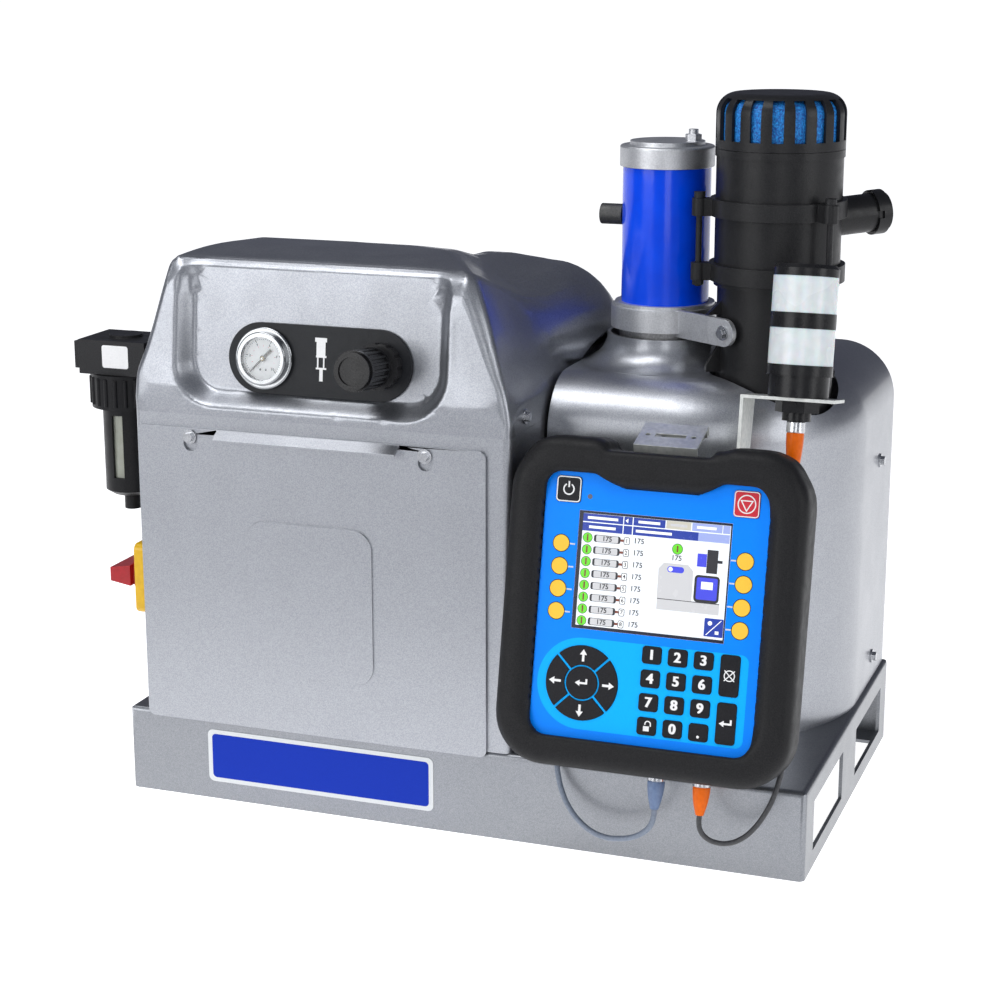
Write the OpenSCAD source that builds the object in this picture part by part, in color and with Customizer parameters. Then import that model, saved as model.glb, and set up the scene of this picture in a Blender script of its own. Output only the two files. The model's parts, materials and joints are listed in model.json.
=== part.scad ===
// Hot melt glue unit: a cabinet with air controls, a melter under a shroud with its pump motor and
// feed funnel, a signal light and a tilted display with keys, all on one folded base.
// Millimetres, +Z up, the front faces -Y, the origin is the middle of the base's underside.

/* [Base] */
// Depth of the folded base
base_d = 343; // [335:1:370]
// Height of the folded base
base_h = 73; // [68:1:85]
// Sheet thickness of the base
base_sheet = 3; // [2:0.5:4]
// Outer bend radius of the base
base_bend = 5; // [4.5:0.5:8]
// Width of one fork pocket
fork_w = 113; // [90:1:120]
// Height of one fork pocket
fork_h = 41; // [30:1:44]
// Height of the fork pockets above the floor
fork_z = 14; // [10:1:18]
// Distance between the middles of the two fork pockets
fork_pitch = 168; // [150:1:175]
// Width of the floor flanges under the front and back walls
floor_flange = 25; // [20:1:28]
// Radius of the floor bolt holes
floor_hole_r = 4.5; // [3:0.5:6]
// Distance of the floor bolt holes from the base's ends
floor_hole_end = 30; // [25:1:45]

/* [Cabinet] */
// Width of the cabinet
cab_w = 325; // [320:1:330]
// Height of the cabinet
cab_h = 256; // [250:1:270]
// Distance from the base's left end to the cabinet
cab_left = 16; // [10:1:20]
// Distance from the base's back to the cabinet's back
cab_back = 6.5; // [4:0.5:20]
// Sheet thickness of the cabinet
cab_sheet = 2; // [1.5:0.5:3]
// Bend radius of the cabinet's upright edges
cab_bend = 6; // [4:0.5:8]
// Width of the front frame at the sides and the bottom
frame_side = 14; // [10:1:18]
// Width of the front frame at the top
frame_top = 30; // [28:1:36]

/* [Front panel] */
// Height of the front panel
panel_h = 250; // [245:1:252]
// Sheet thickness of the front panel
panel_sheet = 2.5; // [2:0.5:3]
// Distance from the cabinet's left edge to the panel
panel_left = 4; // [2:0.5:6]
// Distance from the panel to the cabinet's right edge
panel_right = 19; // [17:0.5:24]
// How far the panel hangs below the top of the base
panel_drop = 4.5; // [3:0.5:6]
// Corner radius of the panel
panel_r = 6; // [4:0.5:10]
// How far the panel lifts on its keyholes
panel_lift = 5; // [4:0.5:6]
// Distance of the hanging bolts from the panel's left edge
hang_left = 48; // [40:1:55]
// Distance between the hanging bolts
hang_pitch = 204; // [190:1:215]
// Distance of the hanging bolts below the panel's top edge
hang_drop = 7; // [7:0.5:8]
// Width of the finger lip
lip_w = 158; // [140:1:165]
// How far the finger lip stands out
lip_out = 9; // [6:0.5:12]
// Width of the pressed field
swage_w = 110; // [90:1:140]
// Height of the pressed field
swage_h = 129; // [100:1:150]
// How far the pressed field stands proud
swage_rise = 1.5; // [1:0.1:2]

/* [Hood] */
// Height of the hood
hood_h = 123; // [118:1:135]
// Height of the hood's upright skirt
hood_skirt = 23; // [20:1:28]
// How far the left side leans in
hood_in_left = 30; // [20:1:36]
// How far the right side leans in
hood_in_right = 43; // [36:1:50]
// How far the front leans back
hood_in_front = 25; // [22:1:30]
// How far the back leans in
hood_in_back = 25; // [15:1:35]
// Depth of the flat top, from its front edge
hood_flat = 131; // [115:1:140]
// How far the rear lies below the flat top
hood_fall = 36; // [30:1:38]
// How far the right side runs in behind the front corner
hood_taper = 22; // [10:1:30]
// Edge radius of the hood's front corners
hood_r = 16; // [12:1:20]
// Edge radius at the rear of the flat top
hood_rear_r = 40; // [35:1:42]
// Wall thickness of the hood
hood_wall = 3; // [2:0.5:4]

/* [Control recess] */
// Width of the recess floor
recess_w = 204; // [190:1:210]
// Height of the recess middle above the cabinet
recess_up = 46.5; // [44:0.5:50]
// Depth of the recess middle behind the cabinet's front
recess_in = 20.5; // [18:0.5:23]
// How far the recess floor leans back, in degrees
recess_lean = 6; // [3:0.5:8]
// Corner radius of the recess
recess_r = 26; // [20:1:28]
// Widening of the recess from its floor to its mouth
recess_draft = 8; // [5:0.5:10]
// Distance from the recess middle down to the recess's lower edge
recess_down = 33; // [31:1:34]
// Distance from the hood's left skirt to the recess middle
recess_left = 158; // [154:1:162]

/* [Air controls] */
// Length of the control plate
plate_w = 159; // [150:1:164]
// Height of the control plate
plate_h = 57; // [56:1:60]
// Thickness of the control plate
plate_t = 3; // [2:0.5:4]
// Distance from the plate's middle to the gauge
gauge_u = 47; // [45:0.5:49]
// Radius of the gauge bezel
gauge_r = 25; // [22:0.5:25]
// Thickness of the gauge bezel's flange
gauge_flange = 4; // [3:0.5:5]
// Radius of the gauge bezel's raised ring
gauge_ring_r = 21.5; // [20:0.5:22]
// Radius of the gauge's dial
gauge_dial_r = 17.5; // [16.5:0.5:18]
// How far the gauge stands out of the plate
gauge_out = 9; // [7.5:0.5:12]
// Radius of the gauge body behind the plate
gauge_body_r = 21; // [18:0.5:21]
// Depth of the gauge body behind the plate
gauge_depth = 28; // [20:1:40]
// Length of the gauge needle from its axis
needle_l = 15; // [13:0.5:16]
// Length of the needle's tail
needle_tail = 10; // [6:0.5:11]
// Distance from the plate's middle to the regulator
reg_u = 53; // [51:0.5:54]
// Radius of the regulator's panel nut
reg_nut_r = 18.5; // [17:0.5:20]
// Thickness of the regulator's panel nut
reg_nut_t = 9; // [7:0.5:12]
// Radius of the regulator's neck
reg_neck_r = 13; // [11:0.5:13.5]
// Length of the regulator's neck in front of the plate
reg_neck = 15; // [13:0.5:18]
// Radius of the regulator knob
knob_r = 16; // [15:0.5:17]
// Length of the regulator knob
knob_l = 42; // [34:1:46]
// Radius of the regulator's stem
reg_stem_r = 5; // [4:0.5:6]
// Number of ribs on the knob
knob_ribs = 18; // [14:1:22]

/* [Shroud] */
// Gap between the cabinet and the shroud
shroud_gap = 3; // [2:0.5:6]
// Distance from the shroud's right wall to the base's right end
shroud_right = 4; // [2:0.5:10]
// Distance from the base's front to the shroud's front wall
shroud_front = 79.5; // [78:0.5:84]
// Distance from the base's back to the shroud's back wall
shroud_back = 6.5; // [4:0.5:12]
// Height of the shroud
shroud_h = 289; // [285:1:295]
// Plan radius of the shroud's front right corner
shroud_corner = 135; // [110:1:140]
// Radius of the shroud's shoulder
shroud_shoulder = 48; // [30:1:52]
// Sheet thickness of the shroud
shroud_sheet = 2.5; // [2:0.5:3]
// Height of the flared neck
neck_h = 24; // [18:1:25]
// Outer radius of the neck at its top
neck_r = 46.5; // [46:0.5:47]
// Width of the outlet window in the back wall
outlet_w = 120; // [100:1:130]
// Height of the outlet window in the back wall
outlet_h = 60; // [50:1:70]
// Height of the outlet window's middle above the base
outlet_z = 70; // [60:1:90]

/* [Pump motor] */
// Distance from the shroud's left edge to the motor's axis
motor_in = 64; // [62:0.5:66]
// Distance of the motor's axis behind the middle of the base
motor_y = 20; // [18:0.5:24]
// Gap between the neck and the motor's base ring
motor_gap = 5; // [3:0.5:7]
// Radius of the motor's base ring
motor_ring_r = 44; // [42:0.5:44]
// Height of the motor's base ring
motor_ring_h = 21; // [19:0.5:24]
// Outer radius of the motor cylinder
motor_r = 36; // [34:0.5:37]
// Length of the motor cylinder
motor_l = 110; // [100:1:120]
// Wall thickness of the motor cylinder
motor_wall = 3; // [2.5:0.5:4]
// Radius of the motor's cap
motor_cap_r = 38.5; // [37.5:0.5:40]
// Height of the motor's cap
motor_cap_h = 17; // [15:0.5:20]
// Radius of the piston rod
rod_r = 9; // [7:0.5:10]
// Thickness of the motor's piston
piston_h = 14; // [12:0.5:18]
// Stroke of the piston
rod_stroke = 60; // [40:1:65]
// Radius of the exhaust muffler
muffler_r = 8.5; // [7:0.5:9.5]
// Length of the exhaust muffler
muffler_l = 19; // [14:1:24]
// Height of the muffler above the motor's base ring
muffler_z = 69; // [50:1:80]

/* [Melter] */
// Radius of the heated block under the funnel
melter_r = 52; // [48:0.5:54]
// Radius of the pump column
pump_r = 37; // [34:0.5:40]
// Height of the melter's feet
melter_foot = 12; // [8:1:16]
// Radius of the feed throat in the block
throat_r = 36; // [30:0.5:40]
// Depth of the feed throat
throat_deep = 180; // [120:1:200]
// Bore radius of the outlet fittings
outlet_r = 7; // [5:0.5:8]
// Length of the outlet fittings
outlet_l = 22; // [20:1:30]
// Depth of the outlet fittings' thread
outlet_thread = 16; // [12:1:18]
// Distance between the outlet fittings
outlet_pitch = 36; // [30:1:38]

/* [Feed funnel] */
// Distance between the motor's axis and the funnel's axis, along the base
funnel_dx = 97.5; // [97:0.5:99]
// Distance from the funnel's axis to the shroud's right wall
funnel_right = 70.5; // [69:0.5:76]
// Radius of the funnel's upper body
funnel_r = 50; // [48:0.5:50]
// Radius of the funnel's lower body
funnel_low_r = 47; // [45:0.5:47]
// Wall thickness of the funnel
funnel_wall = 3; // [2.5:0.5:4]
// How far the funnel reaches down inside the shroud
funnel_sunk = 30; // [24:1:36]
// Height of the funnel's top above the shroud
funnel_h = 179; // [170:1:185]
// Height of the lower clamp ring above the shroud
ring_low = 82; // [80:1:86]
// Height of the upper clamp ring above the shroud
ring_high = 133; // [131:1:138]
// Height of the clamp rings
ring_h = 14; // [10:0.5:15]
// Thickness of the clamp rings
ring_t = 4; // [3:0.5:5]
// Reach of the clamp ears from the funnel's axis
ear_reach = 63; // [61:0.5:65]
// Outer radius of the feed nozzle
nozzle_r = 15.5; // [14:0.5:16]
// Bore radius of the feed nozzle
nozzle_bore_r = 12.5; // [10:0.5:13]
// How far the nozzle stands out of the funnel
nozzle_out = 45; // [40:1:48]
// Height of the nozzle above the shroud
nozzle_z = 119; // [112:1:122]
// Direction of the nozzle, turned from the right towards the back
nozzle_turn = 40; // [30:1:50]
// Upward slope of the nozzle
nozzle_up = 4; // [0:0.5:8]
// Height of the filter cage
cage_h = 43; // [38:1:50]
// Radius of the filter cage
cage_r = 51; // [51:0.5:53]
// Wall thickness of the filter cage
cage_wall = 3; // [2.5:0.5:4]
// Radius of the cage's rounded shoulder
cage_shoulder = 16; // [12:1:18]
// Number of slots in the cage
cage_slots = 18; // [14:1:20]
// Width of one slot in the cage
slot_w = 9; // [7:0.5:10]

/* [Signal light] */
// Radius of the signal light
light_r = 25; // [23:0.5:25]
// How far the light leans back, in degrees
light_lean = 10; // [7:0.5:12]
// Length of one lens
lens_l = 27.5; // [24:0.5:30]
// Length of the band between the lenses
band_l = 11.7; // [10:0.1:14]
// Length of the light's foot under the lower band
light_foot = 16.5; // [14:0.5:20]
// Distance from the light's axis to the base's right end
light_right = 32.5; // [28:0.5:36]
// Distance from the base's front to the light's axis, at the shelf
light_front = 71.5; // [69:0.5:74]
// Height of the light's shelf above the base
light_up = 290; // [287:1:296]
// Length of the light's shelf
shelf_w = 72; // [66:1:76]

/* [Display] */
// Width of the display's face
face_w = 175; // [170:1:180]
// Height of the display's face
face_h = 204; // [200:1:210]
// How far the display leans back, in degrees
display_tilt = 12.4; // [10:0.1:13]
// Distance from the base's right end to the display's middle
display_right = 122; // [119:0.5:126]
// How far the display's face stands in front of the base
display_front = 18; // [16:0.5:22]
// Height of the display's middle above the base
display_up = 136; // [135:0.5:142]
// Width of the rubber boot around the face
boot_side = 27.5; // [24:0.5:30]
// Height of the rubber boot above and below the face
boot_end = 22; // [20:0.5:24]
// Depth of the rubber boot behind the face
boot_deep = 36; // [34:0.5:37]
// How far the boot's rim stands proud of the face
boot_rim = 7; // [5:0.5:9]
// Corner radius of the boot
boot_r = 38; // [30:1:40]
// Depth of the dip in the boot's top edge
boot_dip = 6; // [4:0.5:8]
// Width of the dip in the boot's top edge
dip_w = 84; // [70:1:90]
// Thickness of the key film
overlay_t = 2.5; // [2.2:0.1:3]
// Width of the screen
screen_w = 119.5; // [112:0.5:122]
// Gap between the screen and the power and stop keys
screen_above = 5.45; // [4:0.05:7]
// Gap between the screen and the number keys
screen_below = 7.8; // [6:0.1:9]

/* [Keys] */
// Width of a number key
key_w = 14.8; // [13:0.1:16]
// Height of a number key
key_h = 13; // [11:0.1:14]
// Distance between number keys across
key_px = 20.1; // [19:0.1:20.5]
// Distance between number keys down
key_py = 18; // [17:0.1:18.4]
// Radius of the arrow pad
pad_r = 28.5; // [26:0.5:29]
// Radius of the middle key of the arrow pad
pad_ok_r = 12.4; // [10:0.1:13]
// Size of the power and stop keys
square_key = 19.5; // [17:0.5:21]
// Travel of a key
key_travel = 0.5; // [0.3:0.1:0.6]
// How far a key stands proud of the film
key_proud = 0.9; // [0.7:0.1:1.4]

/* [Air filter] */
// Width of the filter's head, out from the cabinet
filter_w = 78; // [70:1:84]
// Depth of the filter's head
filter_d = 52; // [46:1:58]
// Height of the filter's head
filter_h = 29; // [25:1:34]
// Distance from the cabinet's front to the filter's axis
filter_y = 62.5; // [58:0.5:70]
// Height of the head's underside above the cabinet's top
filter_up = 19; // [17:0.5:20]
// Radius of the bowl's ribbed collar
collar_r = 32; // [30:0.5:34]
// Height of the bowl's ribbed collar
collar_h = 29; // [25:0.5:32]
// Radius of the bowl guard
bowl_r = 22; // [21:0.5:24]
// Length of the bowl guard
bowl_l = 72; // [65:1:80]
// Bore radius of the air inlet
inlet_r = 6.5; // [5:0.5:8]
// Depth of the air inlet
inlet_deep = 18; // [12:1:20]

/* [Disconnect] */
// Size of the switch plate
switch_w = 60; // [56:1:64]
// Thickness of the switch plate
switch_t = 12; // [8:0.5:14]
// Distance from the cabinet's front to the plate
switch_in = 10; // [8:0.5:14]
// Height of the plate's middle above the base
switch_up = 109; // [100:1:120]
// How far the handle stands out of the plate
handle_out = 26; // [22:1:30]
// Length of the handle
handle_l = 48; // [42:1:52]

/* [Fits] */
// Running clearance between parts that move past each other
gap_run = 0.3; // [0.2:0.05:0.5]
// Radial clearance of a shaft in its bearing
gap_fit = 0.05; // [0.02:0.01:0.08]
// Radius of a hanging bolt's shank
bolt_r = 2.5; // [2:0.1:3]
// Radius of a bolt's flange
bolt_flange_r = 5.9; // [5.5:0.1:6.2]

/* [Hidden] */
$fn = 64;
hull_fn = 32;
bolt_hex = 4;
bolt_flange_t = 1.4;
bolt_head = 4.5;
base_w = cab_left + cab_w + shroud_gap + motor_in + funnel_dx + funnel_right + shroud_right;
base_x1 = base_w / 2;
base_y0 = -base_d / 2;
base_y1 = base_d / 2;
floor_hole_pitch = base_w - 2 * floor_hole_end;
cab_x0 = -base_w / 2 + cab_left;
cab_x1 = cab_x0 + cab_w;
cab_mid = (cab_x0 + cab_x1) / 2;
cab_d = base_d - cab_back;
cab_top = base_h + cab_h;
hood_top = cab_top + hood_h;
shroud_x0 = cab_x1 + shroud_gap;
shroud_x1 = base_x1 - shroud_right;
shroud_y0 = base_y0 + shroud_front;
shroud_y1 = base_y1 - shroud_back;
shroud_top = base_h + shroud_h;
corner_x = shroud_x1 - shroud_corner;
corner_y = shroud_y0 + shroud_corner;
port_x = corner_x + 35;
port_y = shroud_y1 - 4;
shroud_bolt_in = 58;
shroud_bolt_z = [base_h + 22, base_h + shroud_h - 92];
motor_x = shroud_x0 + motor_in;
neck_top = shroud_top + neck_h;
ring_z = neck_top + motor_gap;
cylinder_z = ring_z + motor_ring_h;
cap_z = cylinder_z + motor_l;
funnel_x = motor_x + funnel_dx;
funnel_y = 0;
funnel_z = shroud_top - funnel_sunk;
funnel_top = shroud_top + funnel_h;
funnel_step = shroud_top + ring_low - ring_h / 2 - 4;
hole_r = funnel_r + 2.5;
ear_turns = [-38, 82, 202];
ear_bolt_r = 2.5;
strap_turn = -32.3;
strap_gap = 1.3;
strap_t = 4;
strap_h = 22;
strap_drop = 3;
light_at = [base_x1 - light_right, base_y0 + light_front, base_h + light_up];
shelf_t = 2.5;
shelf_over = 32;
display_at = [base_x1 - display_right, base_y0 - display_front, base_h + display_up];
boot_w = face_w + 2 * boot_side;
boot_h = face_h + 2 * boot_end;
latch_w = 50;
latch_knuckle = 19;
latch_floor = boot_h / 2 - boot_dip;
latch_slope = 29;
latch_pin = [latch_floor + 19.5, -boot_deep - shelf_t - 3.3];
latch_pin_r = 1.45;
latch_knuckle_r = latch_pin_r + 0.5;
case_gap = 0.2;
panel_y = base_y0 - gap_run;
panel_x0 = cab_x0 + panel_left;
panel_w = cab_w - panel_left - panel_right;
panel_z0 = base_h - panel_drop;
panel_top = panel_z0 + panel_h;
hang_z = panel_top - hang_drop;
hang_x = [panel_x0 + hang_left, panel_x0 + hang_left + hang_pitch];
control_at = [cab_x0 + recess_left, base_y0 + recess_in, cab_top + recess_up];
filter_at = [cab_x0 - 1 - filter_w / 2, base_y0 + filter_y, cab_top + filter_up];
nipple_r = 9;
switch_at = [cab_x0, base_y0 + switch_in + switch_w / 2, base_h + switch_up];

// Cords: 12 sides at most, points chosen by hand along the hanging route
cord_sides = 8;
light_cord_d = 4;
data_cord_d = 4.4;
plug_r = 7.2;
plug_l = 27.5;
plug_seat = -20;
light_plug_u = 46.8;
data_plug_u = 11.2;
light_cord_route = [
    [214.8, -202.6, 56.6], [214.8, -203.7, 51.6], [216.5, -204.5, 45], [221.5, -204, 39.5],
    [229, -202.5, 36.5], [238, -200, 36.5], [247, -197, 40.5], [255, -193, 48], [262, -188, 59],
    [267, -183, 71], [270, -178, 84], [271.5, -172, 98], [271.5, -165, 114], [271, -157, 134],
    [270, -149, 156], [268.5, -141, 180], [266.5, -133, 205], [264, -126, 230], [261, -119, 255],
    [259, -114, 280], [257.8, -110.8, 300], [257.5, -109.3, 310.5], [257.5, -108.4, 315.5]];
data_cord_route = [
    [179.2, -202.6, 56.6], [179.2, -203.7, 51.6], [177, -204.5, 44], [171, -204, 37], [162, -203, 31.5],
    [151, -201, 28], [139, -198.5, 26.5], [127, -195.5, 28.5], [116, -192, 34], [107, -188.5, 42],
    [99.5, -184.5, 53], [94.5, -180.5, 66], [92, -177, 79], [91, -173, 92], [90.5, -168.5, 105],
    [90, -163, 117], [88.5, -158, 128], [86, -153.5, 138], [81.5, -150.8, 146], [75, -150, 150],
    [69, -150, 150]];
gland_at = [cab_x1, -150, 150];
gland_l = 18;

// Keys: name, place on the face from its middle, width and height
number_names = [["key_1", "key_2", "key_3"], ["key_4", "key_5", "key_6"], ["key_7", "key_8", "key_9"],
    ["key_lock", "key_0", "key_dot"]];
number_at = [5.5, 70 - face_h / 2];
tall_u = 66.2;
pad_at = [-47.9, 43 - face_h / 2];
pad_gap = 1.6;
square_u = face_w / 2 - 18.2;
square_v = face_h / 2 - 14.5;
screen_top = square_v - square_key / 2 - screen_above;
screen_low = number_at[1] + key_h / 2 + screen_below;
screen_h = screen_top - screen_low;
screen_up = (screen_top + screen_low) / 2;
film_gap = 0.3;
box_keys = concat(
    [for (row = [0:3], col = [0:2])
        [number_names[row][col], number_at[0] + col * key_px, number_at[1] - row * key_py, key_w, key_h]],
    [["key_cancel", tall_u, number_at[1] - key_py / 2, key_w, key_h + key_py],
     ["key_enter", tall_u, number_at[1] - 2.5 * key_py, key_w, key_h + key_py],
     ["key_power", -square_u, square_v, square_key, square_key],
     ["key_stop", square_u, square_v, square_key, square_key]]);
arrow_keys = [["key_right", 0], ["key_up", 90], ["key_left", 180], ["key_down", 270]];

// Helpers

// A rounded rectangle about the origin
module rounded(w, h, r) {
    square([w - 2 * r, h], center = true);
    square([w, h - 2 * r], center = true);
    for (x = [-1, 1], y = [-1, 1]) translate([x * (w / 2 - r), y * (h / 2 - r)]) circle(r);
}

// A wall's outline with both top corners rounded, standing on the X axis
module arched(w, h, r) {
    translate([-w / 2, -1]) square([w, h + 1 - r]);
    translate([-w / 2 + r, -1]) square([w - 2 * r, h + 1]);
    for (x = [-1, 1]) translate([x * (w / 2 - r), h - r]) circle(r);
}

// A box with rounded upright and top edges
module folded_box(w, d, h, r) {
    intersection() {
        linear_extrude(h) rounded(w, d, r);
        translate([0, d / 2, 0]) rotate([90, 0, 0]) linear_extrude(d) arched(w, h, r);
        translate([-w / 2, 0, 0]) rotate([90, 0, 90]) linear_extrude(w) arched(d, h, r);
    }
}

// The frames of the parts that stand at an angle: X right, Y up the face, Z out of it
module display_frame() translate(display_at) rotate([90 - display_tilt, 0, 0]) children();
module control_frame() translate(control_at) rotate([90 - recess_lean, 0, 0]) children();
module light_frame() translate(light_at) rotate([-light_lean, 0, 0]) children();
module latch_frame() display_frame() translate([0, latch_pin[0], latch_pin[1]]) children();

// A flange bolt's head, standing on the plane z = 0, and its shank below it
module flange_bolt(shank) {
    cylinder(r = bolt_flange_r, h = bolt_flange_t);
    cylinder(r = bolt_hex, h = bolt_head, $fn = 6);
    translate([0, 0, -shank]) cylinder(r = bolt_r, h = shank);
}

// Cords: a tube swept along a route with its rings turned as little as possible
function unit(v) = v / norm(v);
function heading(p, i) = unit(p[min(i + 1, len(p) - 1)] - p[max(i - 1, 0)]);
function sides(p, s, i = 0) = i == len(p) ? [] :
    let (t = heading(p, i), n = unit(s - t * (s * t))) concat([n], sides(p, n, i + 1));
module tube(p, d) {
    n = sides(p, [1, 0.3, 0.1]);
    m = len(p);
    polyhedron(
        [for (i = [0:m - 1], k = [0:cord_sides - 1])
            let (a = 360 * k / cord_sides, t = heading(p, i))
            p[i] + d / 2 * (cos(a) * n[i] + sin(a) * cross(t, n[i]))],
        concat(
            [[for (k = [0:cord_sides - 1]) k]],
            [[for (k = [0:cord_sides - 1]) m * cord_sides - 1 - k]],
            [for (i = [0:m - 2], k = [0:cord_sides - 1])
                let (a = i * cord_sides, b = (k + 1) % cord_sides)
                [a + k, a + cord_sides + k, a + cord_sides + b, a + b]]));
}

// Base, cabinet and front panel

module base_pan() {
    inner_w = base_w - 2 * base_sheet;
    inner_d = base_d - 2 * base_sheet;
    hole_y = inner_d / 2 - floor_flange / 2;
    color("silver") {
        difference() {
            folded_box(base_w, base_d, base_h, base_bend);
            translate([0, 0, -1])
                folded_box(inner_w, inner_d, base_h - base_sheet + 1, base_bend - base_sheet);
            for (s = [-1, 1])
                translate([-base_w / 2 - 1, s * fork_pitch / 2 - fork_w / 2, fork_z])
                    cube([base_w + 2, fork_w, fork_h]);
        }
        for (s = [-1, 1]) difference() {
            translate([-inner_w / 2, s * hole_y - floor_flange / 2, 0])
                cube([inner_w, floor_flange, base_sheet]);
            for (x = [-1, 1]) translate([x * floor_hole_pitch / 2, s * hole_y, -1])
                cylinder(r = floor_hole_r, h = base_sheet + 2);
        }
    }
}

module cabinet() {
    z0 = base_h + frame_side;
    color("silver") difference() {
        translate([cab_mid, base_y0 + cab_d / 2, base_h])
            linear_extrude(cab_h) rounded(cab_w, cab_d, cab_bend);
        translate([cab_mid, base_y0 + cab_d / 2, base_h + cab_sheet])
            linear_extrude(cab_h)
                rounded(cab_w - 2 * cab_sheet, cab_d - 2 * cab_sheet, cab_bend - cab_sheet);
        translate([panel_x0 + frame_side, base_y0 - 1, z0])
            cube([panel_w - 2 * frame_side, cab_sheet + 2, cab_top - frame_top - z0]);
        for (x = hang_x) translate([x, base_y0 - 1, hang_z]) rotate([-90, 0, 0])
            cylinder(r = bolt_r + gap_fit, h = cab_sheet + 2);
        translate(switch_at - [1, 0, 0]) rotate([0, 90, 0]) cylinder(r = 10, h = cab_sheet + 2);
        translate(gland_at - [cab_sheet + 1, 0, 0]) rotate([0, 90, 0])
            cylinder(r = 5, h = cab_sheet + 2);
    }
}

// The panel hangs on two bolts by keyholes, with a finger lip bent out of its top edge
module front_panel() {
    slot = bolt_r + gap_run;
    eye = bolt_flange_r + gap_run;
    color("silver") translate([panel_x0 + panel_w / 2, panel_y, panel_z0 + panel_h / 2])
        rotate([90, 0, 0]) {
            difference() {
                linear_extrude(panel_sheet) difference() {
                    rounded(panel_w, panel_h, panel_r);
                    for (x = hang_x) translate([x - panel_x0 - panel_w / 2, panel_h / 2 - hang_drop]) {
                        circle(slot);
                        translate([-slot, -panel_lift]) square([2 * slot, panel_lift]);
                        translate([0, -panel_lift - 1]) circle(eye);
                    }
                }
                translate([0, -12, -1])
                    linear_extrude(swage_rise + 1) rounded(swage_w - 4, swage_h - 4, 14);
            }
            translate([0, -12, panel_sheet]) linear_extrude(swage_rise) rounded(swage_w, swage_h, 16);
            translate([-lip_w / 2, 0, 0]) rotate([90, 0, 90]) linear_extrude(lip_w)
                polygon([[panel_h / 2 - 2, panel_sheet - 0.5], [panel_h / 2, panel_sheet - 0.5],
                    [panel_h / 2 - 6, panel_sheet + lip_out], [panel_h / 2 - 8, panel_sheet + lip_out]]);
        }
}

// Hood: a moulded shell that leans in on all sides, with a control recess and a rear lobe

// One ball under each corner: side and depth of the corner, drop below the top, radius
module hood_body(inset) {
    left = cab_x0 + hood_in_left;
    right = cab_x1 - hood_in_right;
    front = base_y0 + hood_in_front;
    balls = [
        [left + hood_r, front + hood_r, 0, hood_r],
        [right - hood_r, front + hood_r, 0, hood_r],
        for (end = [[front + hood_flat, 0], [base_y0 + cab_d - hood_in_back, hood_fall]],
             x = [left + hood_rear_r, right - hood_taper - hood_rear_r])
            [x, end[0] - hood_rear_r, end[1], hood_rear_r]];
    hull() {
        translate([cab_mid, base_y0 + cab_d / 2, cab_top]) linear_extrude(hood_skirt)
            rounded(cab_w - 2 * inset, cab_d - 2 * inset, cab_bend, $fn = hull_fn);
        for (b = balls) translate([b[0], b[1], hood_top - b[2] - b[3]])
            sphere(b[3] - inset, $fn = hull_fn);
    }
}

// The lobe swells out of the right side over the shroud, and stops short of the motor's neck
module hood_lobe(inset) {
    lobe = [[-65, -205, -80, 50], [-92, -113, -80, 64], [-43, -113, -80, 64], [-111, -65, -102, 58],
        [-51, -65, -102, 58]];
    difference() {
        intersection() {
            hull() for (b = lobe) translate([cab_x1 + b[0], base_y0 + cab_d + b[1], hood_top + b[2]])
                sphere(b[3] - inset, $fn = hull_fn);
            translate([cab_x0, base_y0, shroud_top + gap_run]) cube([base_w, base_d, hood_h]);
        }
        translate([motor_x, motor_y, shroud_top - 1])
            cylinder(r1 = neck_r + neck_h - 1, r2 = neck_r + 2.5, h = neck_h + 1);
        translate([motor_x, motor_y, neck_top - 1]) cylinder(r = neck_r + 2.5, h = hood_h);
    }
}

module recess_outline(grow) {
    w = recess_w + 2 * grow;
    h = hood_h + recess_r;
    translate([0, h / 2 - recess_down - grow]) rounded(w, h, recess_r + grow, $fn = hull_fn);
}

module hood_recess(inset) {
    mouth = 3 * recess_in;
    hull() {
        translate([0, 0, -inset]) linear_extrude(0.1) recess_outline(inset);
        translate([0, 0, mouth]) linear_extrude(0.1) recess_outline(inset + 2 * recess_draft);
    }
}

module hood() {
    color("silver") difference() {
        union() {
            difference() {
                union() {
                    hood_body(0);
                    hood_lobe(0);
                }
                translate([0, 0, -0.01]) hood_body(hood_wall);
                hood_lobe(hood_wall);
                translate([cab_mid - cab_w / 2 + hood_wall, base_y0 + hood_wall, cab_top - 1])
                    cube([cab_w - 2 * hood_wall, cab_d - 2 * hood_wall, hood_skirt]);
            }
            intersection() {
                hood_body(0);
                control_frame() hood_recess(hood_wall);
            }
        }
        control_frame() hood_recess(0);
        control_frame() translate([-gauge_u, 0, -2 * hood_wall])
            cylinder(r = gauge_body_r + gap_run, h = 3 * hood_wall);
        control_frame() translate([reg_u, 0, -2 * hood_wall])
            cylinder(r = reg_neck_r + gap_run, h = 3 * hood_wall);
        translate([cab_x0 - 5, filter_at[1], filter_at[2] + filter_h / 2]) rotate([0, 90, 0])
            cylinder(r = nipple_r + gap_run, h = 25);
        for (x = [cab_x0 - 1, cab_x1 - hood_wall - 1])
            translate([x, base_y0 + 34.5, cab_top + hood_skirt / 2]) rotate([0, 90, 0])
                cylinder(r = bolt_r + gap_fit, h = hood_wall + 2);
    }
}

// Air controls on the leaning recess floor

module air_control_plate() {
    color("#26282b") control_frame() difference() {
        linear_extrude(plate_t) rounded(plate_w, plate_h, plate_h / 2 - 0.01);
        translate([-gauge_u, 0, -1]) cylinder(r = gauge_body_r + gap_fit, h = plate_t + 2);
        translate([reg_u, 0, -1]) cylinder(r = reg_neck_r + gap_fit, h = plate_t + 2);
    }
}

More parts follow.
